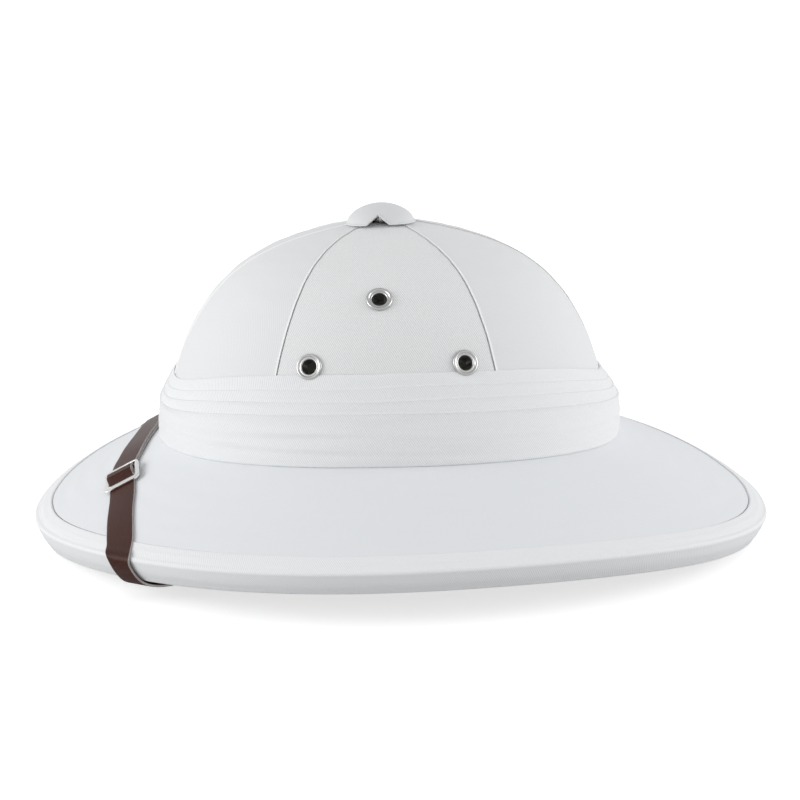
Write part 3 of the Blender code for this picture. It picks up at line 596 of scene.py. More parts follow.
def ringUv(points, row, v):
    # the length round the hat at one row, from the back, and the length v along the loop
    line = points[:, row]
    step = np.linalg.norm(np.roll(line, -1, 0) - line, axis=-1)
    along = np.concatenate([[0.0], np.cumsum(step)])
    v = np.concatenate([v, v[:1]], 0)
    return np.stack([np.broadcast_to(along[:, None], v.shape), v], -1)


def ringPiece(name, t, section, material, uvRow=0, flatUv=False):
    # section[turn, point] is a closed loop; it is carried round the hat
    points = toSpace(t, section)
    if flatUv:
        uv = np.concatenate([points[..., :2], points[:, :1, :2]], 1)
        uv = np.concatenate([uv, uv[:1]], 0)
    else:
        uv = ringUv(points, uvRow, loopLengths(points))
    return gridMesh(name, points, uv, True, True, [material])


def rimLines(t):
    # section points shared by cover, binding and shell: base corner, crease, slope and lower corner
    reach, inward, outward, across = sectionFrame(t)
    base = np.stack([reach, baseLevel(t)], -1)
    crease = np.stack([reach + across, rimRise(t) + hat["edgeHeight"]], -1)
    slope = unit(crease - base)
    corner = crease + (-hat["edgeUndercut"], -hat["edgeHeight"])
    return base, crease, slope, corner


def coverPiece():
    # top: base corner to binding, sagging waves; bottom: the same line a cloth's thickness down
    base, crease, slope, corner = rimLines(turns)
    up = quarterTurn(slope)
    length = np.linalg.norm(crease - base, axis=-1) - rim["bindingWidth"] - rim["coverGap"]
    share = np.linspace(0.0, 1.0, 40) ** 0.9
    along = rim["coverStart"] + (length[:, None] - rim["coverStart"]) * share
    lift = waves(turns[:, None], share * 4.0, 5, rim["coverWaves"], 9, 2, 14)
    lift = lift * smoothStep(share * 6.0) * smoothStep((1.0 - share) * 8.0)
    line = base[:, None] + slope[:, None] * along[..., None]
    top = line + up[:, None] * lift[..., None]
    low = line - up[:, None] * hat["cloth"] * rim["coverWallShare"]
    section = np.concatenate([top, low[:, ::-1]], 1)
    piece = ringPiece("brim_cloth", turns, section, brimCloth, flatUv=True)
    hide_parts("brim_cover")


def arcPoints(centre, start, end, radius, count):
    # circle arc round a centre per turn, from one angle to another
    angle = np.linspace(0.0, 1.0, count)[None] * (end - start)[:, None] + start[:, None]
    return centre[:, None] + radius * np.stack([np.cos(angle), np.sin(angle)], -1)


def cornerArc(before, corner, after, radius, count=9):
    # the rounding between two edges that meet at a corner: a circle that touches both
    a, b = unit(before - corner), unit(after - corner)
    half = np.arccos(np.clip(np.sum(a * b, -1), -1, 1)) / 2
    centre = corner + unit(a + b) * (radius / np.sin(half))[:, None]
    footA = corner + a * (radius / np.tan(half))[:, None]
    footB = corner + b * (radius / np.tan(half))[:, None]
    start = np.arctan2(*(footA - centre).T[::-1])
    end = np.arctan2(*(footB - centre).T[::-1])
    turn = (end - start + math.pi) % (2 * math.pi) - math.pi
    return arcPoints(centre, start, start + turn, radius, count)


def bindingPiece():
    # folded edge on top, crease, bulging edge face and flat underside, as one wrapped strip
    base, crease, slope, corner = rimLines(turns)
    up = quarterTurn(slope)
    seam = crease - slope * rim["bindingWidth"]
    under = corner + (-(hat["edgeRound"] + hat["restWidth"]), 0.0)
    share = np.concatenate([[0.0, 0.012, 0.03, 0.06, 0.10], np.linspace(0.16, 1.0, 13)])
    # the folded edge rises at once, then the strip falls to the crease
    rise = rim["bindingLift"] * (np.sqrt(np.clip(share / 0.05, 0, 1)) * 1.25
                                 - 0.25 * smoothStep((share - 0.10) / 0.3)
                                 - smoothStep((share - 0.45) / 0.5)) - rim["bindingSink"]
    wavy = waves(turns[:, None], share * 3.0, 21, rim["bindingWaves"], 9, 3, 24)
    wavy = wavy * smoothStep(share * 5) * smoothStep((1 - share) * 5)
    bend = cornerArc(seam, crease, corner, rim["creaseRound"])
    flat = seam[:, None] + (bend[:, :1] - seam[:, None]) * share[:, None]
    flat = flat + up[:, None] * (rise + wavy)[..., None]
    lowBend = cornerArc(crease, corner, under, rim["cornerRound"])
    out = quarterTurn(unit(corner - crease))
    down = np.linspace(0.0, 1.0, 11)[1:-1]
    belly = rim["faceBulge"] * np.sin(math.pi * down) + waves(
        turns[:, None], down * 2.0, 31, rim["edgeWaves"], 8, 6, 40)
    face = bend[:, -1:] + (lowBend[:, :1] - bend[:, -1:]) * down[:, None]
    face = face + out[:, None] * (belly * np.sin(math.pi * down) ** 0.5)[..., None]
    run = np.linspace(0.0, 1.0, 6)[1:, None]
    floor = lowBend[:, -1:] + (under[:, None] - lowBend[:, -1:]) * run
    outer = np.concatenate([flat[:, :-1], bend, face, lowBend, floor], 1)
    # the strip's inside lies on the side of each loop's middle
    inwards = -quarterTurn(unit(np.gradient(outer, axis=1)))
    facing = np.sign(np.sum(inwards * (outer.mean(1, keepdims=True) - outer), -1).mean())
    inner = outer + inwards * facing * hat["cloth"] * rim["bindingWallShare"]
    section = np.concatenate([outer, inner[:, ::-1]], 1)
    piece = ringPiece("rim_binding", turns, section, edgeCloth, uvRow=20)
    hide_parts("brim_binding")


shell = {
    "topShare": 0.075, "footStep": 0.0004, "creaseStep": 0.004, "edgeInset": 1.6,
    "edgeStep": 0.0008, "cornerStep": 0.002, "cornerLift": 0.0006,
}


def shellPiece():
    # outside of crown and brim just under the cloth, round the rim, and the walls' inside
    base, crease, slope, corner = rimLines(turns)
    up, out = quarterTurn(slope), quarterTurn(unit(corner - crease))
    gap = hat["cloth"] + hat["clearance"]
    depth, wall = gap + hat["brimWall"], gap + hat["crownWall"]
    r = crownRows(60, crown["footHeight"], shell["topShare"])[::-1]
    t = np.repeat(turns[:, None], len(r), 1)
    grid = np.broadcast_to(r, t.shape)
    plan = np.linalg.norm(crownPlan(turns), axis=-1)[:, None]
    line = np.stack([plan * grid, crownLevel(t, grid)], -1)
    rise = crownLevel(t, grid + small) - crownLevel(t, grid - small)
    normal = unit(np.stack([-rise, plan * np.full_like(grid, 2 * small)], -1))
    outside, inside = line - normal * gap, line - normal * wall
    sink = gap * shell["edgeInset"]
    under = corner + (-(hat["edgeRound"] + hat["restWidth"]) - hat["clearance"], gap)
    hub = [base + slope * (gap + shell["footStep"]) - up * gap,
           crease - slope * shell["creaseStep"] - up * gap,
           crease - up * gap * 1.2 - out * sink - slope * shell["edgeStep"],
           corner - out * sink - slope * shell["cornerStep"] + (0.0, gap + shell["cornerLift"]),
           under]
    inCorner = base + np.stack([np.full(len(turns), -wall),
                                -depth / slope[:, 0] - wall * slope[:, 1] / slope[:, 0]], -1)
    half = (base + crease) / 2 - up * depth
    back = [half, inCorner + (half - inCorner) * 0.1]
    low = inCorner[:, None] + (inside[:, -1:] - inCorner[:, None]) * np.array([0.25, 0.6])[:, None]
    section = np.concatenate([outside, np.stack(hub + back, 1), low, inside[:, ::-1]], 1)
    piece = ringPiece("pressed_shell", turns, section, pith)
    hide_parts("helmet_shell")


coverPiece()
bindingPiece()
shellPiece()
print("brim, binding and shell made")

# Puggaree: three pleats above a wide plain band

band = {
    "height": 0.0380, "endDrop": 0.0100, "dropPower": 6, "thickness": 0.0046, "columns": 512,
    # each pleat's height share, how much higher it runs on the side, where in degrees, its lip
    "pleats": ((0.842, 0.026, 98.0, 0.00052), (0.706, 0.022, 102.0, 0.00068),
               (0.560, 0.030, 86.0, 0.00084)),
    # thickness share at height shares, from the bottom edge up
    "slope": ((-0.06, 0.84), (0.30, 0.94), (0.54, 0.90), (0.70, 0.66), (0.84, 0.43), (1.0, 0.20)),
    "backExtra": 0.0026, "backPower": 4, "footShare": 0.86, "footGap": 0.0005,
    "lipRise": 0.00030, "lipFall": 0.0013, "unevenness": 0.00022, "swellReach": 26.0,
    "drift": 0.00022, "lap": 0.00040, "lapTurn": 83.0, "lapReach": 24.0,
    # soft folds in the wide part: height, slant, depth
    "folds": ((0.0135, 0.0024, 0.00042), (0.0072, -0.0018, 0.00034)),
    "foldTurn": 54.0, "foldReach": 26.0, "foldWidth": 0.0017,
    # the top edge is pressed down under the lower eyelets' flanges
    "pressTurns": (63.0, 105.7), "pressShare": 0.45, "pressReach": 0.075,
    # how much and how fast the cloth falls at its top edge and at its foot
    "topDrop": (0.00028, 0.0003), "footDrop": (0.0006, 0.00035), "innerGap": 0.0003,
    # the rows' steps down from the top edge, round each pleat's edge and up from the foot
    "topRows": (0.0, 0.0002, 0.0005, 0.0010),
    "pleatRows": (0.0009, 0.00050, 0.00036, 0.00024, 0.00012, 0.0, -0.00015, -0.00035, -0.0007,
                  -0.0011, -0.0017, -0.0024),
    "footRows": (0.0009, 0.0005, 0.00025, 0.0001, 0.0), "wideRows": 26, "wideEnd": 0.0014,
}


def sideTurn(t):
    # degrees from the front, 0 to 180, the same on both sides
    return np.degrees(np.arccos(np.cos(t)))


def bandHeight(t):
    # full height = h - d cos^p t, lower at front and back
    return band["height"] - band["endDrop"] * np.cos(t) ** band["dropPower"]


def pleatHeight(t, order):
    # share of the full height, swollen on the side, with a slow seeded drift
    share, swell, turn = band["pleats"][order][:3]
    run = share + swell * bump(sideTurn(t), turn, band["swellReach"])
    return bandHeight(t) * run + waves(t, 0.0 * t, 60 + order, band["drift"], 6, 2, 12)


def bandThickness(t):
    # thickness = a + b max(0, -cos t)^p, fuller at the back
    return band["thickness"] + band["backExtra"] * np.maximum(-np.cos(t), 0.0) ** band["backPower"]


def bandFoot(t):
    # the bottom edge lies on the brim: height = gap - brim's fall * thickness there
    base, rim = crownPlan(t) + (0.0, hat["crownY"]), rimPlan(t)
    across = np.linalg.norm(rim - base, axis=-1)
    fall = (baseLevel(t) - rimRise(t) - hat["edgeHeight"]) / across
    return band["footGap"] - fall * bandThickness(t) * band["footShare"]


def bandRows(t):
    # rows of heights at each turn: they follow the edges and pleats, denser at each lip
    top, bottom, near = bandHeight(t), bandFoot(t), band["pleatRows"]
    rows = [top - step for step in band["topRows"]]
    above = rows[-1]
    for order in range(len(band["pleats"])):
        crest = pleatHeight(t, order)
        rows += [above + (crest + near[0] - above) * share for share in (0.35, 0.7)]
        rows += [crest + step for step in near]
        above = rows[-1]
    low = bottom + band["wideEnd"]
    rows += [above + (low - above) * share for share in np.linspace(0, 1, band["wideRows"])[1:]]
    rows += [bottom + step for step in band["footRows"]]
    return np.stack(rows, 1)


def bandPiece():
    # outside = crown(h) + thickness(h) + lips; a lip rises in lipRise and falls as exp(-d / lipFall)
    t = fullTurn(band["columns"]) + math.pi
    h = bandRows(t)
    tt = np.repeat(t[:, None], h.shape[1], 1)
    high = bandHeight(tt)
    share, thick = np.array(band["slope"]).T
    lift = np.interp(h / high, share, thick) * bandThickness(tt)
    for order, pleat in enumerate(band["pleats"]):
        below = pleatHeight(tt, order) - h
        live = 1.0 + 0.35 * waves(tt, 0.0 * tt, 80 + order, 1.0, 5, 2, 8)
        fall = np.exp(-np.maximum(below, 0.0) / band["lipFall"])
        lift = lift + pleat[3] * live * smoothStep(below / band["lipRise"] + 1.0) * fall
    uneven = waves(tt, h * 260.0, 41, band["unevenness"], 10, 2, 16)
    lift = lift + uneven * smoothStep((high - h) / 0.004)
    away = sideTurn(tt) - band["foldTurn"]
    for start, slant, size in band["folds"]:
        # each fold is a ridge with a shallower valley above it
        ridge = (h - start - slant * np.radians(away)) / band["foldWidth"]
        shape = np.exp(-ridge ** 2) - 0.8 * np.exp(-(ridge + 1.5) ** 2)
        lift = lift + size * bump(away, 0.0, band["foldReach"]) * shape
    for turn in band["pressTurns"]:
        beside = bump(np.radians(sideTurn(tt) - turn), 0.0, band["pressReach"])
        lift = lift * (1.0 - band["pressShare"] * beside * smoothStep((h - high + 0.005) / 0.003))
    for (drop, fall), distance in ((band["topDrop"], high - h), (band["footDrop"], h - bandFoot(tt))):
        lift = lift - drop * np.exp(-distance / fall)
    # the cloth's end laps over on the left side: a small rise of the top edge
    degrees = np.degrees(tt % (2 * math.pi))
    lap = band["lap"] * np.tanh((degrees - band["lapTurn"]) / 1.2) * bump(
        degrees, band["lapTurn"], band["lapReach"]) * smoothStep((h - 0.030) / 0.006)
    plan = np.linalg.norm(crownPlan(t), axis=-1)[:, None]
    reach = plan * crownShare(tt, np.maximum(h, 0.0))
    outer = np.stack([reach + lift, baseLevel(tt) + h + lap], -1)
    inner = np.stack([reach + band["innerGap"], baseLevel(tt) + h], -1)[:, ::4]
    section = np.concatenate([outer, inner[:, ::-1]], 1)
    flat = (crownPlan(t) / plan)[:, None] * section[..., :1] + np.array([0.0, hat["crownY"]])
    points = np.concatenate([flat, section[..., 1:]], -1)
    # one column's lengths serve all round, so that the weave runs level
    lengths = loopLengths(points)
    uv = ringUv(points, 10, np.broadcast_to(lengths[128:129], lengths.shape))
    piece = gridMesh("pleated_band", points, uv, True, True, [bandCloth])
    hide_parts("puggaree")


bandPiece()
print("puggaree made")

# Turned pieces: button, stem, eyelets and rivets

turnedSet = {
    "buttonForward": 0.0035, "buttonRadius": 0.0163, "buttonHeight": 0.0093, "buttonWall": 0.0014,
    "buttonOval": 0.88, "domePower": 1.84, "domeLength": 0.0150, "sideLift": 0.0012,
    "hem": 0.0016, "hemLift": 0.00045, "hemRise": 0.0003, "hemFall": 0.0005,
    # the stitched groove above the hem: depth, distance from the hem, half width
    "groove": (0.00012, 0.0004, 0.00025),
    "notchWidth": 0.0117, "notchHeight": 0.0052, "notchTurn": 79.5, "notchPower": 1.25,
    "holeRadius": 0.0031, "barrel": 0.0006, "depth": 0.0063, "drill": 0.0041,
    # the rivets: head's radius and height, its rim, the pin's radius and length
    "rivetHead": (0.0040, 0.0012), "rivetRim": 0.0003, "rivetPin": (0.0015, 0.0040),
    # turn in degrees, share of the crown's height above the brim
    "eyelets": (("front", 63.0, 0.4454), ("top", 81.5, 0.7265), ("rear", 105.7, 0.4497)),
    # radius and height of the flange from its outer edge in: bead, channel, inner lip
    "flange": ((0.00575, 0.00010), (0.00590, 0.00042), (0.00583, 0.00082), (0.00555, 0.00114),
               (0.00515, 0.00124), (0.00478, 0.00110), (0.00455, 0.00084), (0.00440, 0.00070),
               (0.00418, 0.00070), (0.00394, 0.00078), (0.00368, 0.00074), (0.00346, 0.00056),
               (0.00328, 0.00022), (0.00316, -0.00030), (0.00310, -0.00090)),
}


def turnedPiece(name, profile, steps, place, material, replaced):
    # radius and height carried round Z, then moved to its place
    profile = np.array(profile)
    angle = fullTurn(steps)
    points = np.stack([np.cos(angle)[:, None] * profile[:, 0], np.sin(angle)[:, None] * profile[:, 0],
                       np.broadcast_to(profile[:, 1], (steps, len(profile)))], -1)
    matrix = np.array(place)
    points = points @ matrix[:3, :3].T + matrix[:3, 3]
    bore = profile[0, 0] > 1e-6
    length = runLength(profile)
    length = np.append(length, length[-1] + 0.001) if bore else length
    uv = np.stack(np.broadcast_arrays(np.append(angle, 2 * math.pi)[:, None] * 0.01, length), -1)
    piece = gridMesh(name, points, uv, True, bore, [material])
    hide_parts(replaced)


def roundedProfile(points, radius, steps=5):
    # a profile with each inner corner rounded by the parabola p0 (1-s)^2 + 2 p1 s (1-s) + p2 s^2
    points = np.array(points, float)
    out = [points[:1]]
    s = np.linspace(0.0, 1.0, steps)[:, None]
    for before, corner, after in zip(points[:-2], points[1:-1], points[2:]):
        a, b = before - corner, after - corner
        cut = min(radius, 0.45 * np.linalg.norm(a), 0.45 * np.linalg.norm(b))
        p0, p2 = corner + unit(a) * cut, corner + unit(b) * cut
        out.append(p0 * (1 - s) ** 2 + 2 * corner * s * (1 - s) + p2 * s ** 2)
    return np.concatenate(out + [points[-1:]])


def frameAt(point, normal):
    matrix = Vector(normal).to_track_quat("Z", "Y").to_matrix().to_4x4()
    matrix.translation = Vector(point)
    return matrix


def crownFrame(turn, height):
    t = np.array([turn])
    r = crownShare(t, height)
    return crownPoint(t, r)[0], surfaceNormal(crownPoint, t, r)[0]


def bothSides(point, normal):
    # side's name, point and direction on the left, then mirrored on the right
    mirror = np.array([-1.0, 1.0, 1.0])
    return ("left", point, normal), ("right", point * mirror, normal * mirror)


def drill(name, places):
    # takes a round hole through a piece at each place
    work = bmesh.new()
    for point, normal in places:
        bmesh.ops.create_cone(work, cap_ends=True, segments=48, radius1=turnedSet["drill"],
                              radius2=turnedSet["drill"], depth=0.030,
                              matrix=frameAt(point, normal))
    mesh = bpy.data.meshes.new("drill")
    work.to_mesh(mesh)
    work.free()
    tool = addObject("drill", mesh)
    piece = bpy.data.objects[name]
    cut = piece.modifiers.new("Holes", "BOOLEAN")
    cut.operation, cut.solver, cut.object = "DIFFERENCE", "EXACT", tool
    bpy.context.view_layer.update()
    graph = bpy.context.evaluated_depsgraph_get()
    drilled = bpy.data.meshes.new_from_object(piece.evaluated_get(graph))
    piece.modifiers.clear()
    piece.data = drilled
    bpy.data.objects.remove(tool)


def eyeletPieces():
    # flange, funnel into the barrel, and the barrel's end inside the crown
    s = turnedSet
    hole, depth = s["holeRadius"], s["depth"]
    tube = [(hole, -0.0016), (hole, -depth), (hole + s["barrel"], -depth), (hole + s["barrel"], 0.0001)]
    profile = np.concatenate([roundedProfile(s["flange"], 0.0002, 3), tube])
    places = {"left": [], "right": [], "both": []}
    for label, turn, share in s["eyelets"]:
        seat = crownFrame(math.radians(turn), share * hat["crownHeight"])
        for side, point, normal in bothSides(*seat):
            for holes in (places[side], places["both"]):
                holes.append((point, normal))
            name = "eyelet_" + side + "_" + label
            turnedPiece("nickel_" + name, profile, 72, frameAt(point, normal), dullNickel, name)
    drill("cloth_panel_left", places["left"])
    drill("cloth_panel_right", places["right"])
    drill("pressed_shell", places["both"])


def buttonSeat():
    # the button leans with the crown's top, whose height is read at its back and front edges
    s = turnedSet
    reach = np.array([s["buttonRadius"] - s["buttonForward"], s["buttonRadius"] + s["buttonForward"]])
    back, front = crownLevel(np.zeros(2), reach / hat["crownLength"])
    lean = math.asin((back - front) / (2 * s["buttonRadius"]))
    level = (back + front) / 2 + hat["clearance"]
    middle = Matrix.Translation((0, hat["crownY"] - s["buttonForward"], level))
    return np.array(middle @ Matrix.Rotation(lean, 4, "X"))


def buttonPiece():
    # dome (x / R)^p + (z / H)^p = 1 from the notch's edge up; the wall is a smaller dome inside
    s = turnedSet
    angle = fullTurn(288)
    notch = np.zeros(len(angle))
    for turn in (s["notchTurn"], s["notchTurn"] + 180):
        facing = math.radians(turn) - math.pi / 2
        away = (angle - facing + math.pi) % (2 * math.pi) - math.pi
        off = np.abs(away) * s["buttonRadius"] / (s["notchWidth"] / 2)
        cut = s["notchHeight"] * np.clip(1.0 - off ** s["notchPower"], 0.0, 1.0)
        notch = np.maximum(notch, cut)
    start = np.arcsin(np.clip(notch / s["buttonHeight"], 0, 1))[:, None]
    share = np.concatenate([np.linspace(0.0, 0.16, 11), np.linspace(0.20, 1.0, 25)])
    climb = start + (math.pi / 2 - start) * share
    # the hem stands up over its own width, with a stitched groove above it
    arc = (climb - start) * s["domeLength"]
    sunk, groovePlace, grooveWidth = s["groove"]
    hem = s["hemLift"] * (np.sqrt(np.clip(arc / s["hemRise"], 0, 1))
                          - smoothStep((arc - s["hem"]) / s["hemFall"]))
    hem = hem - sunk * bump(arc, s["hem"] + groovePlace, grooveWidth)
    power = 2.0 / s["domePower"]
    wide, tall = np.maximum(np.cos(climb), 0.0) ** power, np.maximum(np.sin(climb), 0.0) ** power
    spread = np.stack([(s["buttonRadius"] - s["hemLift"] + hem) * wide,
                       (s["buttonHeight"] + hem) * tall], -1)
    inner = np.stack([(s["buttonRadius"] - s["hemLift"] - s["buttonWall"]) * wide,
                      (s["buttonHeight"] - s["buttonWall"]) * tall], -1)
    profile = np.concatenate([spread[:, ::-1], inner], 1)
    # the lower edge rises a little at the two sides, as sideLift cos^2 of the angle from them
    rise = s["sideLift"] * np.cos(angle)[:, None] ** 2
    profile[..., 1] += rise * (1.0 - profile[..., 1] / s["buttonHeight"])
    local = np.stack([np.cos(angle)[:, None] * profile[..., 0] * s["buttonOval"],
                      np.sin(angle)[:, None] * profile[..., 0], profile[..., 1]], -1)
    place = buttonSeat()
    points = local @ place[:3, :3].T + place[:3, 3]
    uv = np.concatenate([local[..., :2], local[:1, :, :2]], 0)
    piece = gridMesh("cloth_button", points, uv, True, False, [shadedCapCloth])
    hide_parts("vent_button")
    stem = bpy.data.objects["vent_stem"].data
    stem.materials.clear()
    stem.materials.append(nickel)


eyeletPieces()
buttonPiece()
print("eyelets and button made")

# Chin strap: the same route over the brim as its solids, finer

strap = {
    "width": 0.0130, "thickness": 0.0010, "leftTurn": 38.6, "rightTurn": 47.8, "endTurn": 82.0,
    "endShare": 0.22, "sliderX": 0.0310, "tailX": -0.0480, "endRun": 0.0100, "endOver": 0.0064,
    "edgeRound": 0.00022, "crown": 0.00004, "underRun": 0.0016, "fine": 5, "flatColumns": 9,
    "swingFrom": 0.68, "bendRows": (27, 68), "bendFade": 8.0, "bendPasses": 24,
    # turn in degrees, share of the brim's width
    "route": ((-47.3, 0.955), (-45.8, 0.870), (-43.5, 0.730), (-38.0, 0.500), (-30.0, 0.290),
              (-20.0, 0.190), (-9.0, 0.172), (3.0, 0.252), (9.0, 0.325), (16.0, 0.405),
              (24.5, 0.540), (32.0, 0.730), (36.4, 0.870), (38.3, 0.955)),
    # extra turn in degrees, share of the edge's height below the crease, stand off from it
    "edge": ((0.9, 0.0, 0.00110), (1.15, 0.28, 0.00120), (1.4, 0.58, 0.00110), (1.9, 1.0, 0.00080)),
    # place along the strap in bar spacings, level it rises from, share of the rise
    "weave": ((-1.15, "low", 0.0), (-1.0, "low", 0.0), (-0.8, "low", 0.0), (-0.52, "low", 0.5),
              (-0.27, "second", 0.96), (0.0, "second", 1.0), (0.27, "second", 1.0),
              (0.45, "second", 0.76), (0.62, "second", 0.32), (0.78, "second", 0.0),
              (1.0, "second", 0.0), (1.18, "second", 0.0)),
    # the other strap's end: where it lies flat before the bar, its turns round it, where it ends
    "foldLead": (1.18, 0.5), "foldAngles": (270.0, 236.0, 202.0, 168.0, 134.0, 100.0),
    "foldEnd": 0.2,
}
slider = {
    "width": 0.0180, "length": 0.0165, "bar": 0.0021, "thickness": 0.0013, "corner": 0.0025,
    "nearBar": 0.0036, "farBar": 0.0013, "middleBar": 0.0007, "gap": 0.00012, "weaveReach": 1.35,
}


def smoothRoute(points, steps):
    # Catmull-Rom: 0.5 (2 p1 + (p2 - p0) s + (2 p0 - 5 p1 + 4 p2 - p3) s^2 + ... s^3)
    points = np.asarray(points, float)
    padded = np.concatenate([2 * points[:1] - points[1:2], points, 2 * points[-1:] - points[-2:-1]])
    s = np.linspace(0.0, 1.0, steps, endpoint=False)[:, None, None]
    p0, p1, p2, p3 = padded[:-3], padded[1:-2], padded[2:-1], padded[3:]
    curve = 0.5 * (2 * p1 + (p2 - p0) * s + (2 * p0 - 5 * p1 + 4 * p2 - p3) * s ** 2
                   + (3 * p1 - p0 - 3 * p2 + p3) * s ** 3)
    return np.concatenate([curve.transpose(1, 0, 2).reshape(-1, points.shape[1]), points[-1:]])


def brimFrame(t, s):
    point = brimPoint(t, s)
    return point, surfaceNormal(brimPoint, t, s)


def strapLine():
    # middle line on the brim with its normals and sides, from the right edge to the left
    route = np.array(strap["route"])
    route = smoothRoute(np.stack([np.radians(route[:, 0]), route[:, 1]], -1), 3)
    point, normal = brimFrame(route[:, 0], route[:, 1])
    side = unit(np.cross(normal, unit(np.gradient(point, axis=0))))
    # near the rim the strap's cross lines swing to lie along the crease that it bends over
    t, s = route.T
    rim = unit(brimPoint(t + small, s) - brimPoint(t - small, s))
    rim *= np.sign(np.sum(rim * side, -1, keepdims=True))
    swing = smoothStep((s - strap["swingFrom"]) / (1.0 - strap["swingFrom"]))[:, None]
    return point, normal, unit(side * (1 - swing) + rim * swing)


def sliderLevels():
    # heights above the cloth of the strap's layers and of the slider's bars
    gap, thick = slider["gap"], strap["thickness"]
    low = hat["clearance"] + thick / 2
    second = low + thick + gap
    nearBar = low + thick / 2 + gap + slider["thickness"] / 2
    farBar = nearBar + thick + gap
    middle = (nearBar + farBar) / 2
    curl = slider["middleBar"] / 2 + gap + thick / 2
    return {"low": low, "second": second, "nearBar": nearBar, "farBar": farBar, "middle": middle,
            "curl": curl, "over": middle + curl + thick + gap}


def anchorPlace():
    t = np.array([math.radians(strap["endTurn"])])
    point, normal = brimFrame(t, np.array([strap["endShare"]]))
    depth = hat["cloth"] + hat["clearance"] * 3 + hat["brimWall"] + strap["thickness"] / 2
    return point[0] - normal[0] * depth, -normal[0]


def edgeRun(crossing):
    # over the crease, down the rim's edge, under it and back up under the brim to the rivet
    lift = hat["clearance"] + strap["thickness"] / 2
    down = unit(np.array([-hat["edgeUndercut"], -hat["edgeHeight"]]))
    face = np.array([-down[1], down[0]])
    points, sides = [], []
    for extra, share, standOff in strap["edge"]:
        t = np.array([crossing + math.radians(extra)])
        plan = rimPlan(t)[0]
        outward = unit(plan - crownPlan(t)[0] - (0.0, hat["crownY"]))
        above = brimFrame(t, np.array([1.0]))[1][0]
        top = np.array([np.dot(above[:2], outward), above[2]])
        look = {0.0: unit(top + face), 1.0: unit(face + (0.0, -1.0))}.get(share, face)
        away = look * (lift + standOff)
        reach = away[0] - hat["edgeUndercut"] * share
        height = rimRise(t)[0] + hat["edgeHeight"] * (1 - share) + away[1]
        points.append(np.array([*(plan + outward * reach), height]))
        step = 0.001
        planStep = rimPlan(t + step)[0] - rimPlan(t - step)[0]
        sides.append(unit(np.array([*planStep, (rimRise(t + step) - rimRise(t - step))[0]])))
    span = strap["underRun"] + hat["restWidth"] + strap["thickness"]
    under = np.array([points[-1][0], points[-1][1] - span / outward[1], rimRise(t)[0] - lift])
    anchor, look = anchorPlace()
    heading = anchor - under
    heading = unit(heading - look * np.dot(heading, look))
    start, finish = anchor - heading * strap["endRun"], anchor + heading * strap["endOver"]
    halfway = (under + start) / 2
    flat = unit(np.cross((0.0, 0.0, -1.0), heading))
    held = unit(np.cross(look, heading))
    points += [under, (under + halfway) / 2, halfway, start, anchor, finish]
    sides += [sides[-1], flat, unit(flat + held), held, held, held]
    return np.array(points), np.array(sides)


def evened(rows, soft):
    # each row moved towards (before + 2 x + after) / 4 by its share soft
    mean = (np.roll(rows, 1, 0) + 2 * rows + np.roll(rows, -1, 0)) / 4
    return rows + (mean - rows) * soft


def ribbonPiece(name, centres, sides, replaced):
    # a rounded flat section carried along the middle line; its cut edges have their own finish
    centres, sides = smoothRoute(centres, strap["fine"]), unit(smoothRoute(sides, strap["fine"]))
    # the stiff leather's bend over the rim is evened out
    row, (first, last), fade = np.arange(len(centres)), strap["bendRows"], strap["bendFade"]
    soft = (smoothStep((row - first) / fade) * smoothStep((last - row) / fade))[:, None]
    for _ in range(strap["bendPasses"]):
        centres, sides = evened(centres, soft), unit(evened(sides, soft))
    tangent = unit(np.gradient(centres, axis=0))
    square = sides - tangent * np.sum(sides * tangent, -1, keepdims=True)
    normal = unit(np.cross(tangent, square))
    across = sides / np.linalg.norm(square, axis=-1, keepdims=True)
    half, thick, r = strap["width"] / 2, strap["thickness"] / 2, strap["edgeRound"]
    flatRow = np.linspace(-half + r, half - r, strap["flatColumns"])
    corner = np.radians(np.array([90.0, 60.0, 30.0, 0.0]))
    topRight = np.stack([half - r + r * np.cos(corner), thick - r + r * np.sin(corner)], -1)
    right = np.concatenate([topRight, (topRight * (1, -1))[::-1]])
    top = np.stack([flatRow, np.full_like(flatRow, thick)], -1)[:-1]
    top[:, 1] += strap["crown"] * (1 - (top[:, 0] / half) ** 2)
    loop = np.concatenate([top, right, -top, -right])
    x, y = loop[None, :, :1], loop[None, :, 1:]
    points = centres[:, None] + across[:, None] * x + normal[:, None] * y
    ringLength = runLength(np.concatenate([loop, loop[:1]]))
    uv = np.stack(np.broadcast_arrays(runLength(centres)[:, None], ringLength[None]), -1)
    isEdge = np.abs(loop[:, 0] + np.roll(loop[:, 0], -1)) / 2 > half - r * 0.98
    slots = np.broadcast_to(isEdge.astype(np.int32), (len(centres) - 1, len(loop)))
    # the closed loop starts at its top left corner, so its ends pair up across the strap
    piece = gridMesh(name, points, uv, False, True, [strapLeather, strapEdge], capEnds=True,
                     faceSlot=slots)
    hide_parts(replaced)


def turnedBack(part):
    return part[0][::-1], part[1][::-1]


def joined(*stretches):
    # points and sides of all stretches, one after another
    return [np.concatenate(rows) for rows in zip(*stretches)]


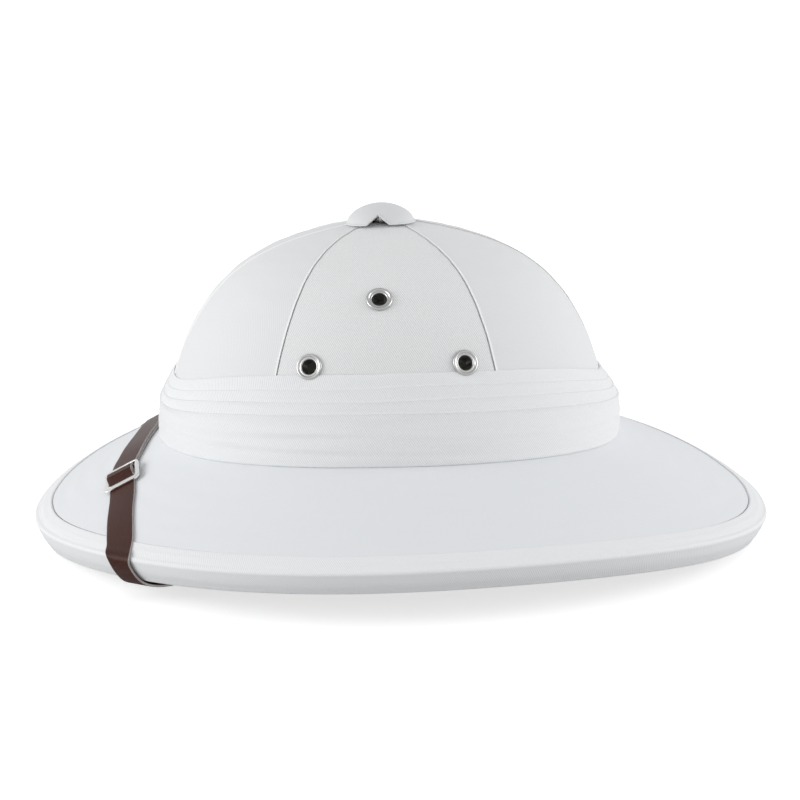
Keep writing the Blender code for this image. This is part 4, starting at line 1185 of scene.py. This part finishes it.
def strapPieces():
    # both straps from stretches of points and sides; returns the slider's place
    level = sliderLevels()
    points, normals, sides = strapLine()
    nearest = int(np.argmin(np.abs(points[:, 0] - strap["sliderX"])))
    place, normal, side = points[nearest], normals[nearest], sides[nearest]
    along = unit(np.cross(side, normal))
    pitch = (slider["length"] - slider["bar"]) / 2
    distance = (points - place) @ along
    reach = pitch * slider["weaveReach"]
    far = distance < -reach

    def atSlider(rows):
        centres = np.array([place - along * ahead + normal * lift for ahead, lift in rows])
        return centres, np.repeat(side[None], len(rows), 0)

    def onBrim(chosen, name):
        return points[chosen] + normals[chosen] * level[name], sides[chosen]

    through = atSlider([(ahead * pitch, level[start] + (level["over"] - level[start]) * rise)
                        for ahead, start, rise in strap["weave"]])
    barCurl = slider["bar"] / 2 + slider["gap"] + strap["thickness"] / 2
    fold = [(barCurl * math.cos(a), level["middle"] + level["curl"] * math.sin(a))
            for a in map(math.radians, strap["foldAngles"])]
    lead = [(ahead * pitch, level["low"]) for ahead in strap["foldLead"]]
    curl = atSlider(lead + fold + [(strap["foldEnd"] * pitch, level["middle"] + level["curl"])])
    leftEnd = edgeRun(math.radians(strap["leftTurn"]))
    rightEnd = [part * (-1.0, 1.0, 1.0) for part in edgeRun(math.radians(strap["rightTurn"]))]
    left = joined(turnedBack(leftEnd), turnedBack(onBrim(distance > reach, "low")), through,
                  turnedBack(onBrim(far & (points[:, 0] > strap["tailX"]), "second")))
    right = joined(turnedBack(rightEnd), onBrim(far, "low"), curl)
    ribbonPiece("leather_strap_left", *left, "strap_left")
    ribbonPiece("leather_strap_right", *right, "strap_right")
    return level, place, along, side, normal


def barTube(path, halfWidth, halfHeight, closed, count=16):
    # superellipse section |x/a|^4 + |y/b|^4 = 1 along a flat path, its half width per point
    angle = fullTurn(count)
    c, s = np.cos(angle), np.sin(angle)
    x = np.sign(c) * np.abs(c) ** 0.5 * np.broadcast_to(halfWidth, len(path))[:, None]
    z = np.sign(s) * np.abs(s) ** 0.5 * halfHeight
    if closed:
        tangent = unit(np.roll(path, -1, 0) - np.roll(path, 1, 0))
    else:
        tangent = unit(np.gradient(path, axis=0))
    out = np.stack([tangent[:, 1], -tangent[:, 0]], -1)
    flat = path[:, None] + out[:, None] * x[..., None]
    return np.concatenate([flat, np.broadcast_to(z[None, :, None], (*flat.shape[:2], 1))], -1)


def sliderPiece(level, place, along, side, normal):
    # a rounded frame with one middle bar, tilted as the folded strap lifts its far bar
    halfL = slider["length"] / 2 - slider["bar"] / 2
    halfW = slider["width"] / 2 - slider["bar"] / 2
    r = slider["corner"] - slider["bar"] / 2
    quarter = np.radians(np.linspace(0.0, 90.0, 7))
    path = []
    for k, (sx, sy) in enumerate(((1, 1), (-1, 1), (-1, -1), (1, -1))):
        a = quarter + k * math.pi / 2
        path.append(np.stack([sx * (halfL - r) + r * np.cos(a), sy * (halfW - r) + r * np.sin(a)], -1))
    path = np.concatenate(path)
    # points halfway between are added, so that the long bars bend evenly in width
    path = np.stack([path, path + (np.roll(path, -1, 0) - path) * 0.5], 1).reshape(-1, 2)
    halfWidth = np.interp(path[:, 0], (-halfL, halfL), (slider["nearBar"] / 2, slider["farBar"] / 2))
    ring = barTube(path, halfWidth, slider["thickness"] / 2, True)
    bar = barTube(np.stack([np.zeros(9), np.linspace(-halfW, halfW, 9)], -1), slider["bar"] / 2,
                  slider["middleBar"] / 2, False)
    tilt = (level["farBar"] - level["nearBar"]) / (slider["length"] - slider["bar"])
    axes = np.stack([unit(-along + normal * tilt), side, unit(normal + along * tilt)])
    centre = place + normal * level["middle"]
    for label, grid, closed in (("frame", ring, True), ("bar", bar, False)):
        points = centre + grid @ axes
        uv = np.zeros((points.shape[0] + int(closed), points.shape[1] + 1, 2))
        piece = gridMesh("nickel_slider_" + label, points, uv, closed, True, [nickel],
                         capEnds=not closed)
        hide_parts("strap_slider")


def rivetPieces():
    # a low domed head on the strap's end; its pin stays hidden in the shell
    s = turnedSet
    low = strap["thickness"] / 2 + 0.00005
    (radius, height), (pin, length) = s["rivetHead"], s["rivetPin"]
    profile = roundedProfile([(0.0, low + height), (radius - 0.0010, low + height - 0.0001),
                              (radius, low + s["rivetRim"]), (radius, low), (pin, low),
                              (pin, -low - length), (0.0, -low - length)], 0.0006, 6)
    for side, point, look in bothSides(*anchorPlace()):
        turnedPiece("rivet_" + side, profile, 40, frameAt(point, look), nickel, "anchor_" + side)


sliderPiece(*strapPieces())
rivetPieces()
print("straps, slider and rivets made")

# Floor, light and camera

studio = {
    "floorSize": 6.0, "floorLevel": -0.0002, "floorColour": (0.62, 0.62, 0.625), "floorGlow": 0.68,
    "horizon": 1.09, "zenith": 0.56, "frontDip": 0.10, "skyColour": (0.985, 0.992, 1.0),
    "lightAim": (0.0, 0.0, 0.07), "lightSize": (1.4, 1.2),
    # name, place and power of each area light
    "lights": (("keyLight", (0.35, -1.9, 0.60), 19.0), ("fillLight", (0.35, 1.9, 0.60), 17.0)),
    # the camera's turn, height and roll in degrees, then the point it aims at
    "cameraAngles": (6.762, 15.0, 0.213),
    "cameraAim": (0.0, -0.001112, 0.061206), "cameraDistance": 1.130, "lens": 106.95,
}


def makeFloor():
    # a pale sheet that the camera sees near white, while its bounce on the hat stays soft
    half, low = studio["floorSize"] / 2, studio["floorLevel"]
    mesh = bpy.data.meshes.new("floor")
    corners = [(x * half, y * half, low) for x, y in ((-1, -1), (1, -1), (1, 1), (-1, 1))]
    mesh.from_pydata(corners, [], [(0, 1, 2, 3)])
    floor = addObject("floor", mesh)
    made, tree, shader = newMaterial("paleFloor")
    setSockets(shader, {"Base Color": (*studio["floorColour"], 1.0), "Roughness": 0.95,
                        "Specular IOR Level": 0.0, "Emission Color": (1.0, 1.0, 1.0, 1.0)})
    seen = tree.nodes.new("ShaderNodeLightPath").outputs["Is Camera Ray"]
    link(tree, mathNode(tree, "MULTIPLY", seen, studio["floorGlow"]),
         shader.inputs["Emission Strength"])
    mesh.materials.append(made)


def makeWorld():
    # strength = horizon + (zenith - horizon) z^0.7 - dip x (1 - z): dimmer above and in front
    world = bpy.data.worlds.new("studio")
    bpy.context.scene.world = world
    world.use_nodes = True
    tree = world.node_tree
    background = tree.nodes["Background"]
    place = tree.nodes.new("ShaderNodeTexCoord").outputs["Generated"]
    split = tree.nodes.new("ShaderNodeSeparateXYZ")
    link(tree, place, split.inputs[0])
    z = mathNode(tree, "MAXIMUM", split.outputs[2], 0.0)
    front = mathNode(tree, "MULTIPLY", mathNode(tree, "MAXIMUM", split.outputs[0], 0.0),
                     mathNode(tree, "SUBTRACT", 1.0, z))
    high = mathNode(tree, "MULTIPLY", mathNode(tree, "POWER", z, 0.7),
                    studio["zenith"] - studio["horizon"])
    strength = mathNode(tree, "SUBTRACT", mathNode(tree, "ADD", high, studio["horizon"]),
                        mathNode(tree, "MULTIPLY", front, studio["frontDip"]))
    background.inputs["Color"].default_value = (*studio["skyColour"], 1.0)
    link(tree, strength, background.inputs["Strength"])


def areaLight(name, place, power):
    data = bpy.data.lights.new(name, "AREA")
    data.shape = "RECTANGLE"
    data.size, data.size_y = studio["lightSize"]
    data.energy = power
    made = addObject(name, data)
    made.location = place
    aim = Vector(studio["lightAim"]) - Vector(place)
    made.rotation_euler = aim.to_track_quat("-Z", "Y").to_euler()


def makeCamera():
    # eye = aim + distance (cos a cos e, -sin a cos e, sin e), then a small roll
    turn, height, roll = map(math.radians, studio["cameraAngles"])
    back = Vector((math.cos(turn) * math.cos(height), -math.sin(turn) * math.cos(height),
                   math.sin(height)))
    right = Vector((-back.y, back.x, 0.0)).normalized()
    up = back.cross(right)
    rolledRight = right * math.cos(roll) + up * math.sin(roll)
    rolledUp = up * math.cos(roll) - right * math.sin(roll)
    data = bpy.data.cameras.new("photoCamera")
    data.sensor_width = 36.0
    data.sensor_fit = "HORIZONTAL"
    data.lens = studio["lens"]
    data.clip_start, data.clip_end = 0.05, 50.0
    camera = addObject("photoCamera", data)
    matrix = Matrix((rolledRight, rolledUp, back)).transposed().to_4x4()
    matrix.translation = Vector(studio["cameraAim"]) + back * studio["cameraDistance"]
    camera.matrix_world = matrix
    bpy.context.scene.camera = camera


makeFloor()
makeWorld()
for light in studio["lights"]:
    areaLight(*light)
makeCamera()
bpy.context.scene.view_settings.view_transform = "Standard"
print("stage set")
